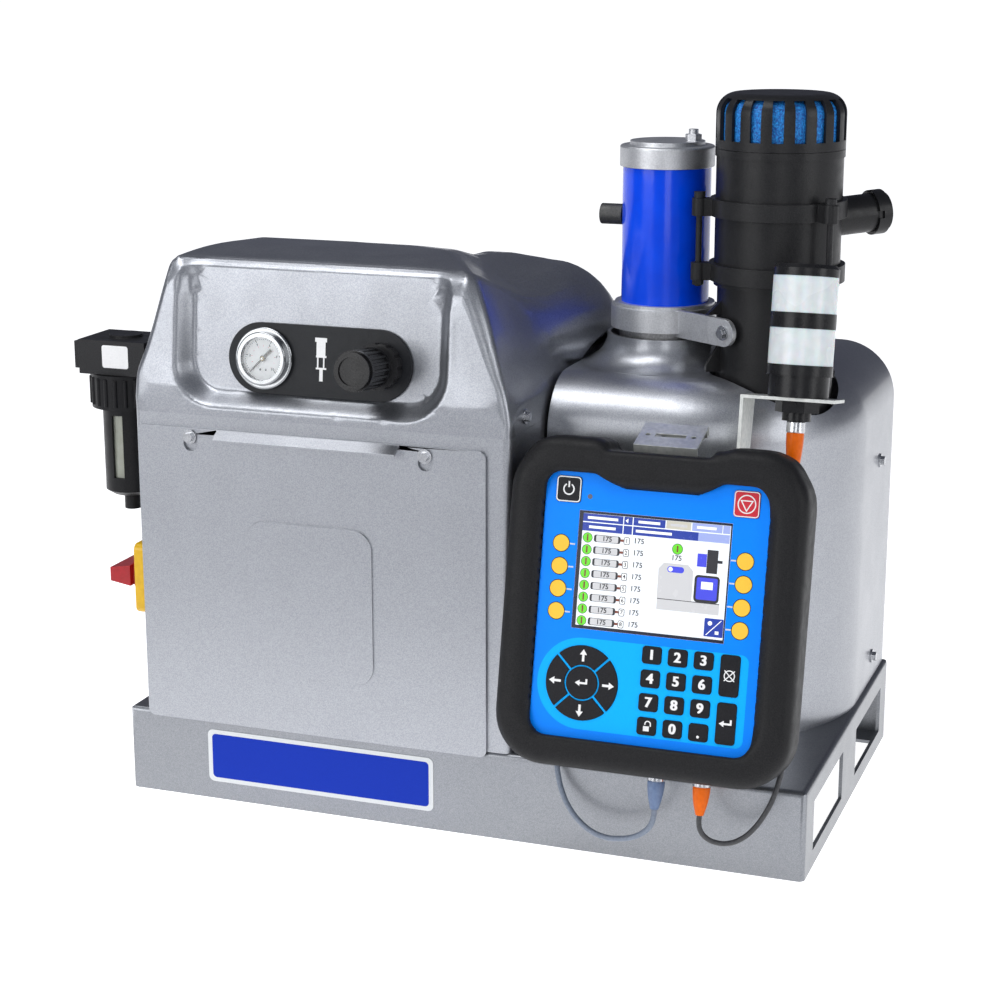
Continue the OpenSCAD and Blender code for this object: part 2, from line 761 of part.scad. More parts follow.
// Half the outline of a round step in front of the plate, with a rolled outer edge
module rolled_step(r, h) {
    roll = 1.5;
    translate([0, plate_t]) {
        square([r, h - roll]);
        square([r - roll, h]);
        translate([r - roll, h - roll]) circle(roll, $fn = hull_fn);
    }
}

// A round case with a stepped bezel, a sunk dial and the pivot of the needle
module gauge_case() {
    dial_z = plate_t + gauge_out - 6;
    color("gainsboro") control_frame() translate([-gauge_u, 0, 0]) {
        rotate_extrude() difference() {
            union() {
                translate([0, -gauge_depth]) square([gauge_body_r, gauge_depth + plate_t + 1]);
                rolled_step(gauge_r, gauge_flange);
                rolled_step(gauge_ring_r, gauge_out);
            }
            translate([-1, dial_z]) square([gauge_dial_r + 1, gauge_out]);
        }
        translate([0, 0, dial_z]) cylinder(r = 0.8, h = 3);
        translate([0, 0, -gauge_depth - 10]) cylinder(r = 6.5, h = 10);
    }
}

module gauge_needle() {
    dial_z = plate_t + gauge_out - 6;
    color("black") control_frame() translate([-gauge_u, 0, dial_z + 1])
        rotate([0, 0, 225]) difference() {
            linear_extrude(0.8) union() {
                circle(2.4);
                polygon([[-needle_tail, -1.2], [needle_l, -0.3], [needle_l, 0.3], [-needle_tail, 1.2]]);
            }
            translate([0, 0, -1]) cylinder(r = 0.8 + gap_fit, h = 3);
        }
}

module gauge_lens() {
    color("white", 0.3) control_frame()
        translate([-gauge_u, 0, plate_t + gauge_out - 2.7]) cylinder(r = gauge_dial_r - gap_fit, h = 1.5);
}

// Regulator: body behind the plate, neck through it, a scalloped nut and the stem for the knob
module regulator_body() {
    scallops = 12;
    color("#1b1c1e") control_frame() translate([reg_u, 0, 0]) difference() {
        union() {
            translate([0, 0, -hood_wall - 55]) cylinder(r = 20, h = 55);
            translate([0, 0, -hood_wall]) cylinder(r = reg_neck_r, h = hood_wall + plate_t + reg_neck);
            translate([0, 0, plate_t]) difference() {
                cylinder(r = reg_nut_r, h = reg_nut_t);
                for (k = [0:scallops - 1]) rotate([0, 0, 360 * k / scallops])
                    translate([reg_nut_r + 1.2, 0, -1]) cylinder(r = 2.4, h = reg_nut_t + 2);
            }
            cylinder(r = reg_stem_r, h = plate_t + reg_neck + knob_l - 10);
        }
        translate([0, 0, -hood_wall - 40]) rotate([0, 90, 0]) cylinder(r = inlet_r, h = 21);
    }
}

module regulator_knob() {
    z0 = plate_t + reg_neck + gap_run;
    color("#141517") control_frame() translate([reg_u, 0, z0]) difference() {
        union() {
            rotate_extrude() {
                square([knob_r - 1.2, knob_l]);
                translate([0, 2]) square([knob_r, 4]);
                translate([0, knob_l - 8]) square([knob_r, 4]);
            }
            for (k = [0:knob_ribs - 1]) rotate([0, 0, 360 * k / knob_ribs])
                translate([knob_r - 1.4, 0, 5]) cylinder(r = 1.5, h = knob_l - 11);
        }
        translate([0, 0, -1]) cylinder(r = reg_stem_r + gap_fit, h = knob_l - 8);
        translate([0, 0, knob_l - 1.5]) cylinder(r = knob_r - 5, h = 3);
    }
}

// Disconnect switch on the left wall

module disconnect_plate() {
    shank = 40;
    color("gold") translate(switch_at) rotate([0, -90, 0]) {
        linear_extrude(switch_t) rounded(switch_w, switch_w, 6);
        translate([0, 0, -shank]) cylinder(r = 9.5, h = shank + 1);
        translate([0, 0, switch_t]) cylinder(r = 5, h = gap_run + 10);
    }
}

module disconnect_handle() {
    hub_h = 8;
    color("crimson") translate(switch_at - [switch_t + gap_run, 0, 0]) rotate([0, -90, 0]) difference() {
        union() {
            cylinder(r = 19, h = hub_h);
            translate([0, handle_l / 2, hub_h - 1]) rotate([90, 0, 0]) linear_extrude(handle_l)
                polygon([[-9, 0], [9, 0], [6, handle_out - hub_h + 1], [-6, handle_out - hub_h + 1]]);
        }
        translate([0, 0, -1]) cylinder(r = 5 + gap_fit, h = 12);
    }
}

// Air filter on the left side: head with ports, ribbed collar with bowl guard, sight glass

module filter_head() {
    spigot = collar_r - 8;
    color("#1c1d1f") translate(filter_at) difference() {
        union() {
            translate([-filter_w / 2 + 8, -filter_d / 2, 0]) cube([filter_w - 16, filter_d, filter_h]);
            for (s = [-1, 1]) translate([s * (filter_w / 2 - 9) - 9, -19, 3]) cube([18, 38, filter_h - 6]);
            translate([0, 0, filter_h]) cylinder(r = 14, h = 2.5);
            translate([filter_w / 2 - 10, 0, filter_h / 2]) rotate([0, 90, 0])
                cylinder(r = nipple_r, h = 22);
            translate([0, 0, -collar_h + 9]) cylinder(r = spigot, h = collar_h - 9);
        }
        translate([-filter_w / 2 - 1, 0, filter_h / 2]) rotate([0, 90, 0])
            cylinder(r = inlet_r, h = inlet_deep + 1);
    }
}

module filter_bowl() {
    ribs = 22;
    spigot = collar_r - 8;
    z1 = -gap_run;
    z0 = z1 - collar_h;
    color("#17181a") translate(filter_at) difference() {
        union() {
            translate([0, 0, z0]) cylinder(r = collar_r - 1.5, h = collar_h);
            for (k = [0:ribs - 1]) rotate([0, 0, 360 * k / ribs])
                translate([collar_r - 2, 0, z0 + 3]) cylinder(r = 2, h = collar_h - 6);
            translate([0, 0, z0 - bowl_l]) cylinder(r = bowl_r, h = bowl_l + 1);
            translate([0, 0, z0 - bowl_l - 4]) cylinder(r1 = bowl_r - 6, r2 = bowl_r, h = 4);
            translate([0, 0, z0 - bowl_l - 18]) cylinder(r = 7, h = 16);
        }
        translate([0, 0, -collar_h + 9 - gap_run]) cylinder(r = spigot + gap_fit, h = collar_h);
        translate([0, 0, z0 - bowl_l + 3]) cylinder(r = bowl_r - 3, h = bowl_l + collar_h / 2);
        for (s = [0, 180]) rotate([0, 0, s]) translate([-5, -bowl_r - 1, z0 - bowl_l + 12])
            cube([10, 8, bowl_l - 18]);
    }
}

module sight_glass() {
    z0 = filter_at[2] - gap_run - collar_h - bowl_l + 3;
    color("white", 0.5) translate([filter_at[0], filter_at[1], z0])
        rotate_extrude() difference() {
            square([bowl_r - 3 - gap_fit, bowl_l]);
            translate([-1, 2]) square([bowl_r - 5 + 1, bowl_l]);
        }
}

// Shroud: front, corner and right walls share one profile with a round shoulder

module shroud_profile(inset) {
    r = shroud_corner - inset;
    top = shroud_h - inset;
    f = shroud_shoulder - inset;
    square([r, top - f]);
    square([r - f, top]);
    translate([r - f, top - f]) intersection() {
        circle(f);
        square(f);
    }
}

module shroud_body(inset, open) {
    front_l = corner_x - shroud_x0 + open;
    right_l = shroud_y1 - corner_y;
    translate([corner_x, corner_y, base_h]) {
        rotate([0, 0, -90]) rotate_extrude(angle = 90) shroud_profile(inset);
        translate([-front_l, 0, 0]) rotate([90, 0, 90])
            mirror([1, 0, 0]) linear_extrude(front_l) shroud_profile(inset);
        translate([0, right_l - inset, 0]) rotate([90, 0, 0])
            linear_extrude(right_l - inset) shroud_profile(inset);
        translate([-front_l, -0.01, 0]) cube([front_l + 0.01, right_l - inset + 0.01, shroud_h - inset]);
    }
}

// The neck flares in a quarter circle from the shroud's top to the motor
module shroud_neck(inset) {
    big = neck_h + inset;
    translate([motor_x, motor_y, shroud_top]) rotate_extrude() difference() {
        translate([0, -inset - 0.5]) square([neck_r + neck_h, neck_h + inset + 0.5]);
        translate([neck_r + neck_h, neck_h]) circle(big);
    }
}

module melter_shroud() {
    color("silver") difference() {
        union() {
            shroud_body(0, 0);
            intersection() {
                shroud_neck(0);
                translate([shroud_x0, base_y0, 0]) cube([base_w, base_d, 2 * shroud_top]);
            }
        }
        translate([0, 0, -0.01]) shroud_body(shroud_sheet, 10);
        translate([motor_x, motor_y, shroud_top - 10]) cylinder(r = neck_r - shroud_sheet, h = neck_h + 20);
        shroud_neck(shroud_sheet);
        translate([funnel_x, funnel_y, shroud_top - 40]) cylinder(r = hole_r, h = 80);
        translate([port_x - outlet_w / 2, shroud_y1 - 10, base_h + outlet_z - outlet_h / 2])
            cube([outlet_w, 20, outlet_h]);
        for (z = shroud_bolt_z) translate([shroud_x1 - shroud_sheet - 1, shroud_y1 - shroud_bolt_in, z])
            rotate([0, 90, 0]) cylinder(r = bolt_r + gap_fit, h = shroud_sheet + 2);
    }
}

// Melter: heated block with feed throat, pump column with the rod's bore, outlet fittings at the back

module melter_block() {
    z0 = base_h;
    color("darkgray") difference() {
        union() {
            translate([funnel_x, funnel_y, z0 + melter_foot])
                cylinder(r = melter_r, h = funnel_z - z0 - melter_foot);
            translate([motor_x, motor_y, z0]) cylinder(r = pump_r, h = ring_z - z0);
            translate([motor_x, motor_y - 30, z0 + melter_foot])
                cube([funnel_dx, 60, funnel_z - z0 - melter_foot - 40]);
            translate([funnel_x - 30, funnel_y - 30, z0]) cube([60, 60, melter_foot + 1]);
            translate([port_x - outlet_w / 2 + 4, motor_y, base_h + outlet_z - outlet_h / 2 + 8])
                cube([outlet_w - 8, port_y - motor_y, outlet_h - 16]);
        }
        translate([funnel_x, funnel_y, funnel_z - throat_deep]) cylinder(r = throat_r, h = throat_deep + 1);
        translate([motor_x, motor_y, z0 + melter_foot]) cylinder(r = rod_r + gap_run, h = ring_z);
    }
}

module outlet_fittings() {
    wall = 3.5;
    passage_r = outlet_r - 2.5;
    color("gray") for (k = [-1:1]) translate([port_x + k * outlet_pitch, port_y, base_h + outlet_z])
        rotate([-90, 0, 0]) difference() {
            union() {
                cylinder(r = outlet_r + wall + 2.5, h = outlet_l / 3, $fn = 6);
                cylinder(r = outlet_r + wall, h = outlet_l);
            }
            translate([0, 0, -1]) cylinder(r = passage_r, h = outlet_l);
            translate([0, 0, outlet_l - outlet_thread]) cylinder(r = outlet_r, h = outlet_thread + 1);
        }
}

// Pump motor: base ring with strap, cylinder, cap, muffler and the moving piston with its rod

module drive_rod() {
    rest = gap_run;
    tip = base_h + melter_foot + 30;
    color("lightgray") translate([motor_x, motor_y, 0]) {
        translate([0, 0, cylinder_z + rest]) cylinder(r = motor_r - motor_wall - gap_run, h = piston_h);
        translate([0, 0, tip]) cylinder(r = rod_r, h = cylinder_z + rest + piston_h - tip);
    }
}

module strap() {
    end = strap_h / 2;
    difference() {
        translate([funnel_x, funnel_y, ring_z - strap_drop + end]) rotate([0, 0, strap_turn])
            translate([0, -funnel_r - strap_gap, 0]) rotate([90, 0, 0]) linear_extrude(strap_t) {
                translate([-60, -end]) square([60 - 2, strap_h]);
                translate([-2, 0]) circle(end);
            }
        translate([motor_x, motor_y, ring_z - 2 * strap_drop])
            cylinder(r = pump_r + gap_run, h = 2 * strap_drop);
    }
}

module motor_base() {
    color("silver") difference() {
        union() {
            translate([motor_x, motor_y, ring_z]) {
                cylinder(r = motor_ring_r, h = motor_ring_h - 3);
                cylinder(r = motor_ring_r - 3, h = motor_ring_h);
            }
            strap();
        }
        translate([motor_x, motor_y, ring_z - 1]) cylinder(r = rod_r + gap_fit, h = motor_ring_h + 2);
        translate([funnel_x, funnel_y, ring_z - strap_drop + strap_h / 2]) rotate([0, 0, strap_turn])
            translate([-2, -funnel_r - strap_gap + 1, 0]) rotate([90, 0, 0])
                cylinder(r = bolt_r + gap_fit, h = strap_t + 2);
    }
}

module motor_cylinder() {
    color("#0b46c8") translate([motor_x, motor_y, cylinder_z]) difference() {
        cylinder(r = motor_r, h = motor_l);
        translate([0, 0, -1]) cylinder(r = motor_r - motor_wall, h = motor_l + 2);
        translate([0, 0, muffler_z]) rotate([0, -90, 0]) cylinder(r = 5, h = motor_r + 5);
    }
}

module motor_cap() {
    round_r = 2;
    color("silver") translate([motor_x, motor_y, cap_z]) {
        rotate_extrude() {
            square([motor_cap_r, motor_cap_h - round_r]);
            square([motor_cap_r - round_r, motor_cap_h]);
            translate([motor_cap_r - round_r, motor_cap_h - round_r]) circle(round_r);
        }
        translate([0, 0, motor_cap_h]) cylinder(r = motor_cap_r - 8, h = 3.5);
        translate([motor_cap_r - 17, 0, motor_cap_h + 3]) {
            cylinder(r = 7, h = 6, $fn = 6);
            cylinder(r = 4, h = 10);
        }
    }
}

module exhaust_muffler() {
    spigot = 5 - gap_fit;
    color("gray") translate([motor_x, motor_y, cylinder_z + muffler_z]) rotate([0, -90, 0]) difference() {
        union() {
            translate([0, 0, motor_r - motor_wall + 0.5]) cylinder(r = spigot, h = motor_wall + 1);
            translate([0, 0, motor_r + 0.1]) cylinder(r = muffler_r, h = muffler_l);
        }
        translate([0, 0, motor_r + muffler_l - 8]) cylinder(r = muffler_r - 3, h = 10);
    }
}

// Feed funnel: moulded tube with ribs, a feed nozzle and a boss for the strap

module funnel_outside() {
    rotate_extrude() {
        square([funnel_low_r, funnel_step - funnel_z]);
        translate([0, funnel_step - funnel_z]) square([funnel_r, funnel_top - funnel_step]);
        translate([0, funnel_top - funnel_z - 6]) square([funnel_r + 1, 6]);
    }
}

module funnel_inside() {
    low = funnel_step - funnel_z;
    translate([0, 0, -1]) cylinder(r = funnel_low_r - funnel_wall, h = low + 2 * funnel_wall);
    translate([0, 0, low + funnel_wall])
        cylinder(r = funnel_r - funnel_wall, h = funnel_top - funnel_step + 1);
}

module nozzle_frame() {
    translate([0, 0, shroud_top + nozzle_z - funnel_z]) rotate([0, 90 - nozzle_up, nozzle_turn]) children();
}

module feed_funnel() {
    gusset_t = 4;
    gusset_reach = funnel_r + 9;
    gusset_in = funnel_low_r - funnel_wall / 2;
    gusset_low = shroud_top + 3 - funnel_z;
    gusset_high = gusset_low + 58;
    strap_low = ring_z - strap_drop - 1 - funnel_z;
    strap_high = strap_low + strap_h + 2;
    nozzle_end = funnel_r + nozzle_out;
    color("#151617") translate([funnel_x, funnel_y, funnel_z]) difference() {
        union() {
            funnel_outside();
            nozzle_frame() {
                cylinder(r = nozzle_r, h = nozzle_end);
                translate([0, 0, nozzle_end - 13]) cylinder(r = nozzle_r + 2.5, h = 10);
            }
            for (a = [216, 335]) rotate([90, 0, a]) translate([0, 0, -gusset_t / 2])
                linear_extrude(gusset_t) {
                    polygon([[gusset_in, gusset_low], [gusset_reach, gusset_low],
                        [gusset_reach, gusset_low + 5], [funnel_low_r + 1, strap_low], [gusset_in, strap_low]]);
                    polygon([[gusset_in, strap_high], [gusset_reach, strap_high], [gusset_in, gusset_high]]);
                }
            rotate([0, 0, strap_turn])
                translate([-2, -funnel_low_r + 2, ring_z - strap_drop + strap_h / 2 - funnel_z])
                rotate([90, 0, 0]) cylinder(r = 8, h = funnel_r - funnel_low_r + 2 + strap_gap - 0.1);
        }
        funnel_inside();
        nozzle_frame() cylinder(r = nozzle_bore_r, h = nozzle_end + 1);
        nozzle_frame() for (k = [0, 90]) rotate([0, 0, k])
            translate([-nozzle_r - 4, -3, nozzle_end - 14]) cube([4 - 0.5, 6, 5]);
    }
}

module clamp_ring(z) {
    ear_r = 6;
    web_w = 2 * ear_r - 2;
    translate([funnel_x, funnel_y, z - ring_h / 2]) difference() {
        linear_extrude(ring_h) difference() {
            union() {
                circle(r = funnel_r + ring_t);
                for (a = ear_turns) rotate(a) {
                    translate([funnel_r + ring_t / 2, -web_w / 2])
                        square([ear_reach - funnel_r - ring_t / 2, web_w]);
                    translate([ear_reach, 0]) circle(r = ear_r);
                }
            }
            circle(r = funnel_r + gap_fit);
            for (a = ear_turns) rotate(a) translate([ear_reach, 0]) circle(r = ear_bolt_r + gap_fit);
        }
        translate([0, 0, funnel_z - z + ring_h / 2]) nozzle_frame()
            cylinder(r = nozzle_r + gap_run, h = 2 * funnel_r);
    }
}

module clamp_rings() {
    color("#1a1b1d") for (z = [ring_low, ring_high]) clamp_ring(shroud_top + z);
}

// Filter cage: one slotted shell with a round shoulder, lifted off over the foam

module cage_profile(inset) {
    r = cage_r - inset;
    h = cage_h - inset;
    f = cage_shoulder - inset;
    square([r, h - f]);
    square([r - f, h]);
    translate([r - f, h - f]) intersection() {
        circle(f);
        square(f);
    }
}

module filter_cage() {
    rim = 7;
    color("#131415") translate([funnel_x, funnel_y, funnel_top + gap_run]) difference() {
        rotate_extrude() cage_profile(0);
        translate([0, 0, -0.01]) rotate_extrude() cage_profile(cage_wall);
        for (k = [0:cage_slots - 1]) rotate([0, 0, 360 * k / cage_slots])
            translate([cage_r - cage_shoulder - 4, -slot_w / 2, rim])
                cube([cage_shoulder + 10, slot_w, cage_h - rim - 4]);
    }
}

module filter_foam() {
    color("dodgerblue") translate([funnel_x, funnel_y, funnel_top + gap_run])
        rotate_extrude() intersection() {
            cage_profile(cage_wall + gap_fit);
            translate([0, 1]) square([cage_r, cage_h]);
        }
}

// Display bracket: a back plate with an arm to the shroud and the light's shelf and leg

module display_bracket() {
    plate_u = 50.5;
    plate_v = 172;
    t = shelf_t;
    arm_w = 70;
    arm_h = 90;
    arm_z = display_at[2] - arm_h / 2;
    arm_y = display_at[1] + boot_deep;
    shelf_x0 = light_at[0] + shelf_over - shelf_w;
    color("silver") {
        display_frame() {
            translate([-plate_u, latch_floor - plate_v, -boot_deep - t]) cube([2 * plate_u, plate_v, t]);
            translate([-latch_knuckle / 2, latch_floor - 1, -boot_deep - t])
                cube([latch_knuckle, latch_pin[0] - latch_floor - 2.2, t]);
        }
        latch_frame() {
            rotate([0, 90, 0]) cylinder(r = latch_pin_r, h = latch_w - 2, center = true);
            rotate([0, 90, 0]) cylinder(r = latch_knuckle_r, h = latch_knuckle, center = true);
            translate([-latch_knuckle / 2, -5.5, 0]) cube([latch_knuckle, 4.5, 4]);
        }
        difference() {
            for (x = [-arm_w / 2, arm_w / 2 - t]) translate([display_at[0] + x, arm_y, arm_z])
                cube([t, shroud_y0 - arm_y, arm_h]);
            display_frame() translate([-boot_w / 2, -boot_h / 2, -boot_deep])
                cube([boot_w, boot_h, 2 * boot_deep]);
        }
        translate([display_at[0] - arm_w / 2, shroud_y0 - t, arm_z]) cube([arm_w, t, arm_h]);
        difference() {
            light_frame() translate([shelf_x0 - light_at[0], 0, 0]) {
                translate([0, -20, -t]) cube([shelf_w, 40, t]);
                rotate([90, 0, 90]) linear_extrude(t)
                    polygon([[-20, 0], [20, 0], [4, -130], [-36, -130], [-20, -60]]);
            }
            display_frame() translate([-boot_w / 2, -boot_h / 2, -boot_deep - gap_run])
                cube([boot_w, boot_h, 2 * boot_deep]);
            light_frame() translate([0, 0, -t - 1]) cylinder(r = 11 + gap_fit, h = t + 2);
        }
    }
}

// Signal light: a black core with bands, cap, foot, panel nut and stud, with two ring lenses

module light_base() {
    core_r = light_r - 3;
    band_z = light_foot + 8.3;
    lens2 = band_z + lens_l + band_l;
    top = lens2 + lens_l;
    color("#191a1c") light_frame() {
        cylinder(r = light_r - 2, h = light_foot);
        translate([0, 0, light_foot]) cylinder(r = light_r, h = 8.3);
        cylinder(r = core_r, h = top);
        translate([0, 0, band_z + lens_l]) cylinder(r = light_r, h = band_l);
        translate([0, 0, top]) cylinder(r = light_r, h = 6);
        translate([0, 0, top + 5.9]) cylinder(r1 = light_r, r2 = light_r - 3, h = 3);
        translate([0, 0, -shelf_t - 9]) cylinder(r = 17, h = 9, $fn = 6);
        translate([0, 0, -18]) cylinder(r = 11, h = 18.5);
    }
}

module light_lenses() {
    band_z = light_foot + 8.3;
    color("white", 0.8) light_frame() for (z = [band_z, band_z + lens_l + band_l])
        translate([0, 0, z]) difference() {
            cylinder(r = light_r - 0.3, h = lens_l);
            translate([0, 0, -1]) cylinder(r = light_r - 3 + gap_fit, h = lens_l + 2);
        }
}

// Display: latch, inner case, rubber boot, key film, screen and keys

module display_latch() {
    sheet = 1.6;
    ear_w = (latch_w - latch_knuckle) / 2 - gap_run;
    rise = latch_knuckle_r + gap_run;
    reach = 32.5;
    lip = 5.7;
    color("silver") latch_frame() rotate([latch_slope, 0, 0]) difference() {
        union() {
            translate([-latch_w / 2, rise, -3]) cube([latch_w, sheet, reach + 3]);
            translate([-latch_w / 2, rise - lip, reach - sheet]) cube([latch_w, lip + sheet, sheet]);
            for (s = [-1, 1]) translate([s * (latch_w - ear_w) / 2 - ear_w / 2, -3, -3])
                cube([ear_w, rise + 3.5, 6]);
        }
        translate([-12, rise - 1, 13]) cube([24, 4, 5]);
        for (s = [-1, 1]) translate([s * 18, rise - 1, 15.5]) rotate([-90, 0, 0]) cylinder(r = 2, h = 4);
        rotate([0, 90, 0]) cylinder(r = latch_pin_r + gap_fit, h = latch_w + 2, center = true);
    }
}

module display_case() {
    color("#202124") display_frame()
        translate([0, 0, -boot_deep + 4]) linear_extrude(boot_deep - 4 - overlay_t)
            rounded(face_w + 14, face_h + 14, 18);
}

// The blue face dips at its top middle, under the boot's tongue
module face_outline(grow) {
    difference() {
        rounded(face_w + 2 * grow, face_h + 2 * grow, 14);
        translate([2, face_h / 2 + grow])
            polygon([[-52, 1], [-27, -11 - grow], [30, -11 - grow], [52, 1]]);
    }
}

module boot_outline(inset) {
    rounded(boot_w - 2 * inset, boot_h - 2 * inset, boot_r - inset, $fn = hull_fn);
}

module display_boot() {
    soft = 11;
    steps = 4;
    color("#1d1e20") display_frame() difference() {
        hull() {
            translate([0, 0, -boot_deep]) linear_extrude(0.1) boot_outline(5);
            translate([0, 0, -boot_deep + 5]) linear_extrude(0.1) boot_outline(0);
            for (k = [0:steps]) let (a = 90 * k / steps)
                translate([0, 0, boot_rim - soft * (1 - sin(a)) - 0.1])
                    linear_extrude(0.1) boot_outline(soft * (1 - cos(a)));
        }
        translate([0, 0, -boot_deep + 4 - case_gap])
            linear_extrude(boot_deep - 4 + case_gap) rounded(face_w + 14.4, face_h + 14.4, 18.2);
        translate([0, 0, -1]) linear_extrude(boot_rim + 2) face_outline(0.2);
        hull() {
            linear_extrude(0.1) rounded(face_w - 2, face_h - 24, 14, $fn = hull_fn);
            translate([0, 0, boot_rim + 1])
                linear_extrude(0.1) rounded(face_w + 18, face_h - 6, 20, $fn = hull_fn);
        }
        translate([-dip_w / 2, boot_h / 2 - boot_dip, -boot_deep - 1]) cube([dip_w, 20, 2 * boot_deep]);
        for (u = [light_plug_u, data_plug_u]) translate([u, -boot_h / 2, plug_seat])
            rotate([-90, 0, 0]) cylinder(r = 5, h = boot_end - 8);
    }
}

module key_shape(k, grow) {
    translate([k[1], k[2]]) rounded(k[3] + 2 * grow, k[4] + 2 * grow, 2.4 + grow);
}

module arrow_shape(turn, grow) {
    r0 = pad_ok_r + pad_gap - grow;
    translate(pad_at) rotate(turn) intersection() {
        difference() {
            circle(pad_r + grow);
            circle(r0);
        }
        translate([pad_gap - 1.4 * grow, 0]) polygon([[0, 0], [pad_r + 5, -pad_r - 5], [pad_r + 5, pad_r + 5]]);
    }
}

module display_overlay() {
    color("#0f8df2") display_frame() translate([0, 0, -overlay_t]) linear_extrude(overlay_t) difference() {
        face_outline(0);
        translate([0, screen_up]) square([screen_w + 0.2, screen_h + 0.2], center = true);
        for (k = box_keys) key_shape(k, film_gap);
        for (k = arrow_keys) arrow_shape(k[1], film_gap);
        translate(pad_at) circle(pad_ok_r + film_gap);
    }
}

module display_screen() {
    color("#dfe8f2") display_frame() translate([0, screen_up, -overlay_t])
        linear_extrude(overlay_t - 0.6) square([screen_w, screen_h], center = true);
}

// Every key is a raised shape in the film's opening, with room below for its travel
module key_body() {
    color("#1a1c22") display_frame() translate([0, 0, -overlay_t + key_travel + 0.1])
        linear_extrude(overlay_t - key_travel - 0.1 + key_proud) children();
}

module key_ok() key_body() translate(pad_at) circle(pad_ok_r);

// Cords with their plugs and gland

module light_cord() color("#202022") tube(light_cord_route, light_cord_d);
module data_cord() color("#6f8096") tube(data_cord_route, data_cord_d);

module plug(l) {
    cylinder(r = plug_r, h = l * 0.4);
    translate([0, 0, l * 0.4]) cylinder(r1 = plug_r - 0.6, r2 = plug_r - 3, h = l * 0.6);
}

module cord_plugs() {
    color("darkorange") {
        display_frame() for (u = [light_plug_u, data_plug_u]) translate([u, -boot_h / 2, plug_seat])
            rotate([90, 0, 0]) plug(plug_l);
        light_frame() translate([0, 0, -18]) rotate([180, 0, 0]) plug(30);
    }
    color("#2a2b2e") translate(gland_at) rotate([0, 90, 0]) {
        cylinder(r = 9, h = 7, $fn = 6);
        cylinder(r = 7.5, h = 12);
        translate([0, 0, 12]) cylinder(r1 = 7.5, r2 = 4, h = gland_l - 12);
        translate([0, 0, -cab_sheet - 6]) cylinder(r = 5 - gap_fit, h = cab_sheet + 7);
    }
}

// Bolts: hanging bolts, hood and shroud bolts, long clamp bolts and the strap's screw

module fasteners() {
    head_y = panel_y - panel_sheet - gap_run;
    ring_span = ring_high - ring_low + ring_h;
    color("gainsboro") {
        for (x = hang_x) translate([x, head_y, hang_z]) rotate([90, 0, 0])
            flange_bolt(base_y0 + cab_sheet + 4 - head_y);
        for (s = [[cab_x0, -90], [cab_x1, 90]])
            translate([s[0], base_y0 + 34.5, cab_top + hood_skirt / 2]) rotate([0, s[1], 0])
                flange_bolt(hood_wall + 4);
        for (z = shroud_bolt_z) translate([shroud_x1, shroud_y1 - shroud_bolt_in, z]) rotate([0, 90, 0])
            flange_bolt(shroud_sheet + 4);
        for (a = ear_turns) translate([funnel_x, funnel_y, shroud_top + ring_low - ring_h / 2])
            rotate([0, 0, a]) translate([ear_reach, 0, 0]) {
                translate([0, 0, -5]) cylinder(r = ear_bolt_r, h = ring_span + 6);
                translate([0, 0, ring_span]) cylinder(r = 4.5, h = 5);
                translate([0, 0, -4]) cylinder(r = 4.6, h = 4, $fn = 6);
            }
        translate([funnel_x, funnel_y, ring_z - strap_drop + strap_h / 2]) rotate([0, 0, strap_turn])
            translate([-2, -funnel_r - strap_gap - strap_t, 0]) rotate([90, 0, 0])
                flange_bolt(strap_t);
    }
}

base_pan();
cabinet();
front_panel();
hood();
melter_shroud();
fasteners();
air_control_plate();
gauge_case();
gauge_needle();
gauge_lens();
regulator_body();
regulator_knob();
disconnect_plate();
disconnect_handle();
filter_head();
filter_bowl();
sight_glass();
melter_block();
outlet_fittings();
drive_rod();
motor_base();
motor_cylinder();
motor_cap();
exhaust_muffler();
feed_funnel();
clamp_rings();
filter_cage();
filter_foam();
display_bracket();
light_base();
light_lenses();
display_latch();
display_case();
display_boot();
display_overlay();
display_screen();
light_cord();
data_cord();
cord_plugs();
key_ok();
for (k = box_keys) key_body() key_shape(k, 0);
for (k = arrow_keys) key_body() arrow_shape(k[1], 0);
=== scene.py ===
# %% [markdown]
# # A hot melt glue unit
#
# The unit stands on a folded steel pan: a cabinet under a moulded hood on the left, a round-cornered
# shroud with a blue air motor and a black feed funnel on the right, and a keypad display hung in front.
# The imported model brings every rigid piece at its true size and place. This lesson dresses it: first the
# camera, the light and the cords, then the finishes, and then the pieces that need softer forms or print.

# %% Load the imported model
import json
import math

import bmesh
import bpy
from mathutils import Matrix, Vector, noise
from mathutils.bvhtree import BVHTree


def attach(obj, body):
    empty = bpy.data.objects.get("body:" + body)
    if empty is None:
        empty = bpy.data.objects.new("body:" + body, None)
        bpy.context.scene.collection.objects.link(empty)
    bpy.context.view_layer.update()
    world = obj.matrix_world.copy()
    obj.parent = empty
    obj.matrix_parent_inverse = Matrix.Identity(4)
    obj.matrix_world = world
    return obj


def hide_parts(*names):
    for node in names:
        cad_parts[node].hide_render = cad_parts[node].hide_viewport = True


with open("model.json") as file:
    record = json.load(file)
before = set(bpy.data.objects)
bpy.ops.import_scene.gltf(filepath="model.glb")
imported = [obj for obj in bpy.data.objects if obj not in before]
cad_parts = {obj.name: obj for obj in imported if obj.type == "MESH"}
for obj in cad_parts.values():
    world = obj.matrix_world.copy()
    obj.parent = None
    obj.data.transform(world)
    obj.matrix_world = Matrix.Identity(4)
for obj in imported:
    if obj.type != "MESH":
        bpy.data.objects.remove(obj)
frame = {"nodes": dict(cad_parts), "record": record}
nodes = frame["nodes"]
home = {n: b for b, names in frame["record"]["behaviour"]["bodies"].items() for n in names}
slot_of = {s["node"]: s["material_slot"] for s in frame["record"]["subparts"]}
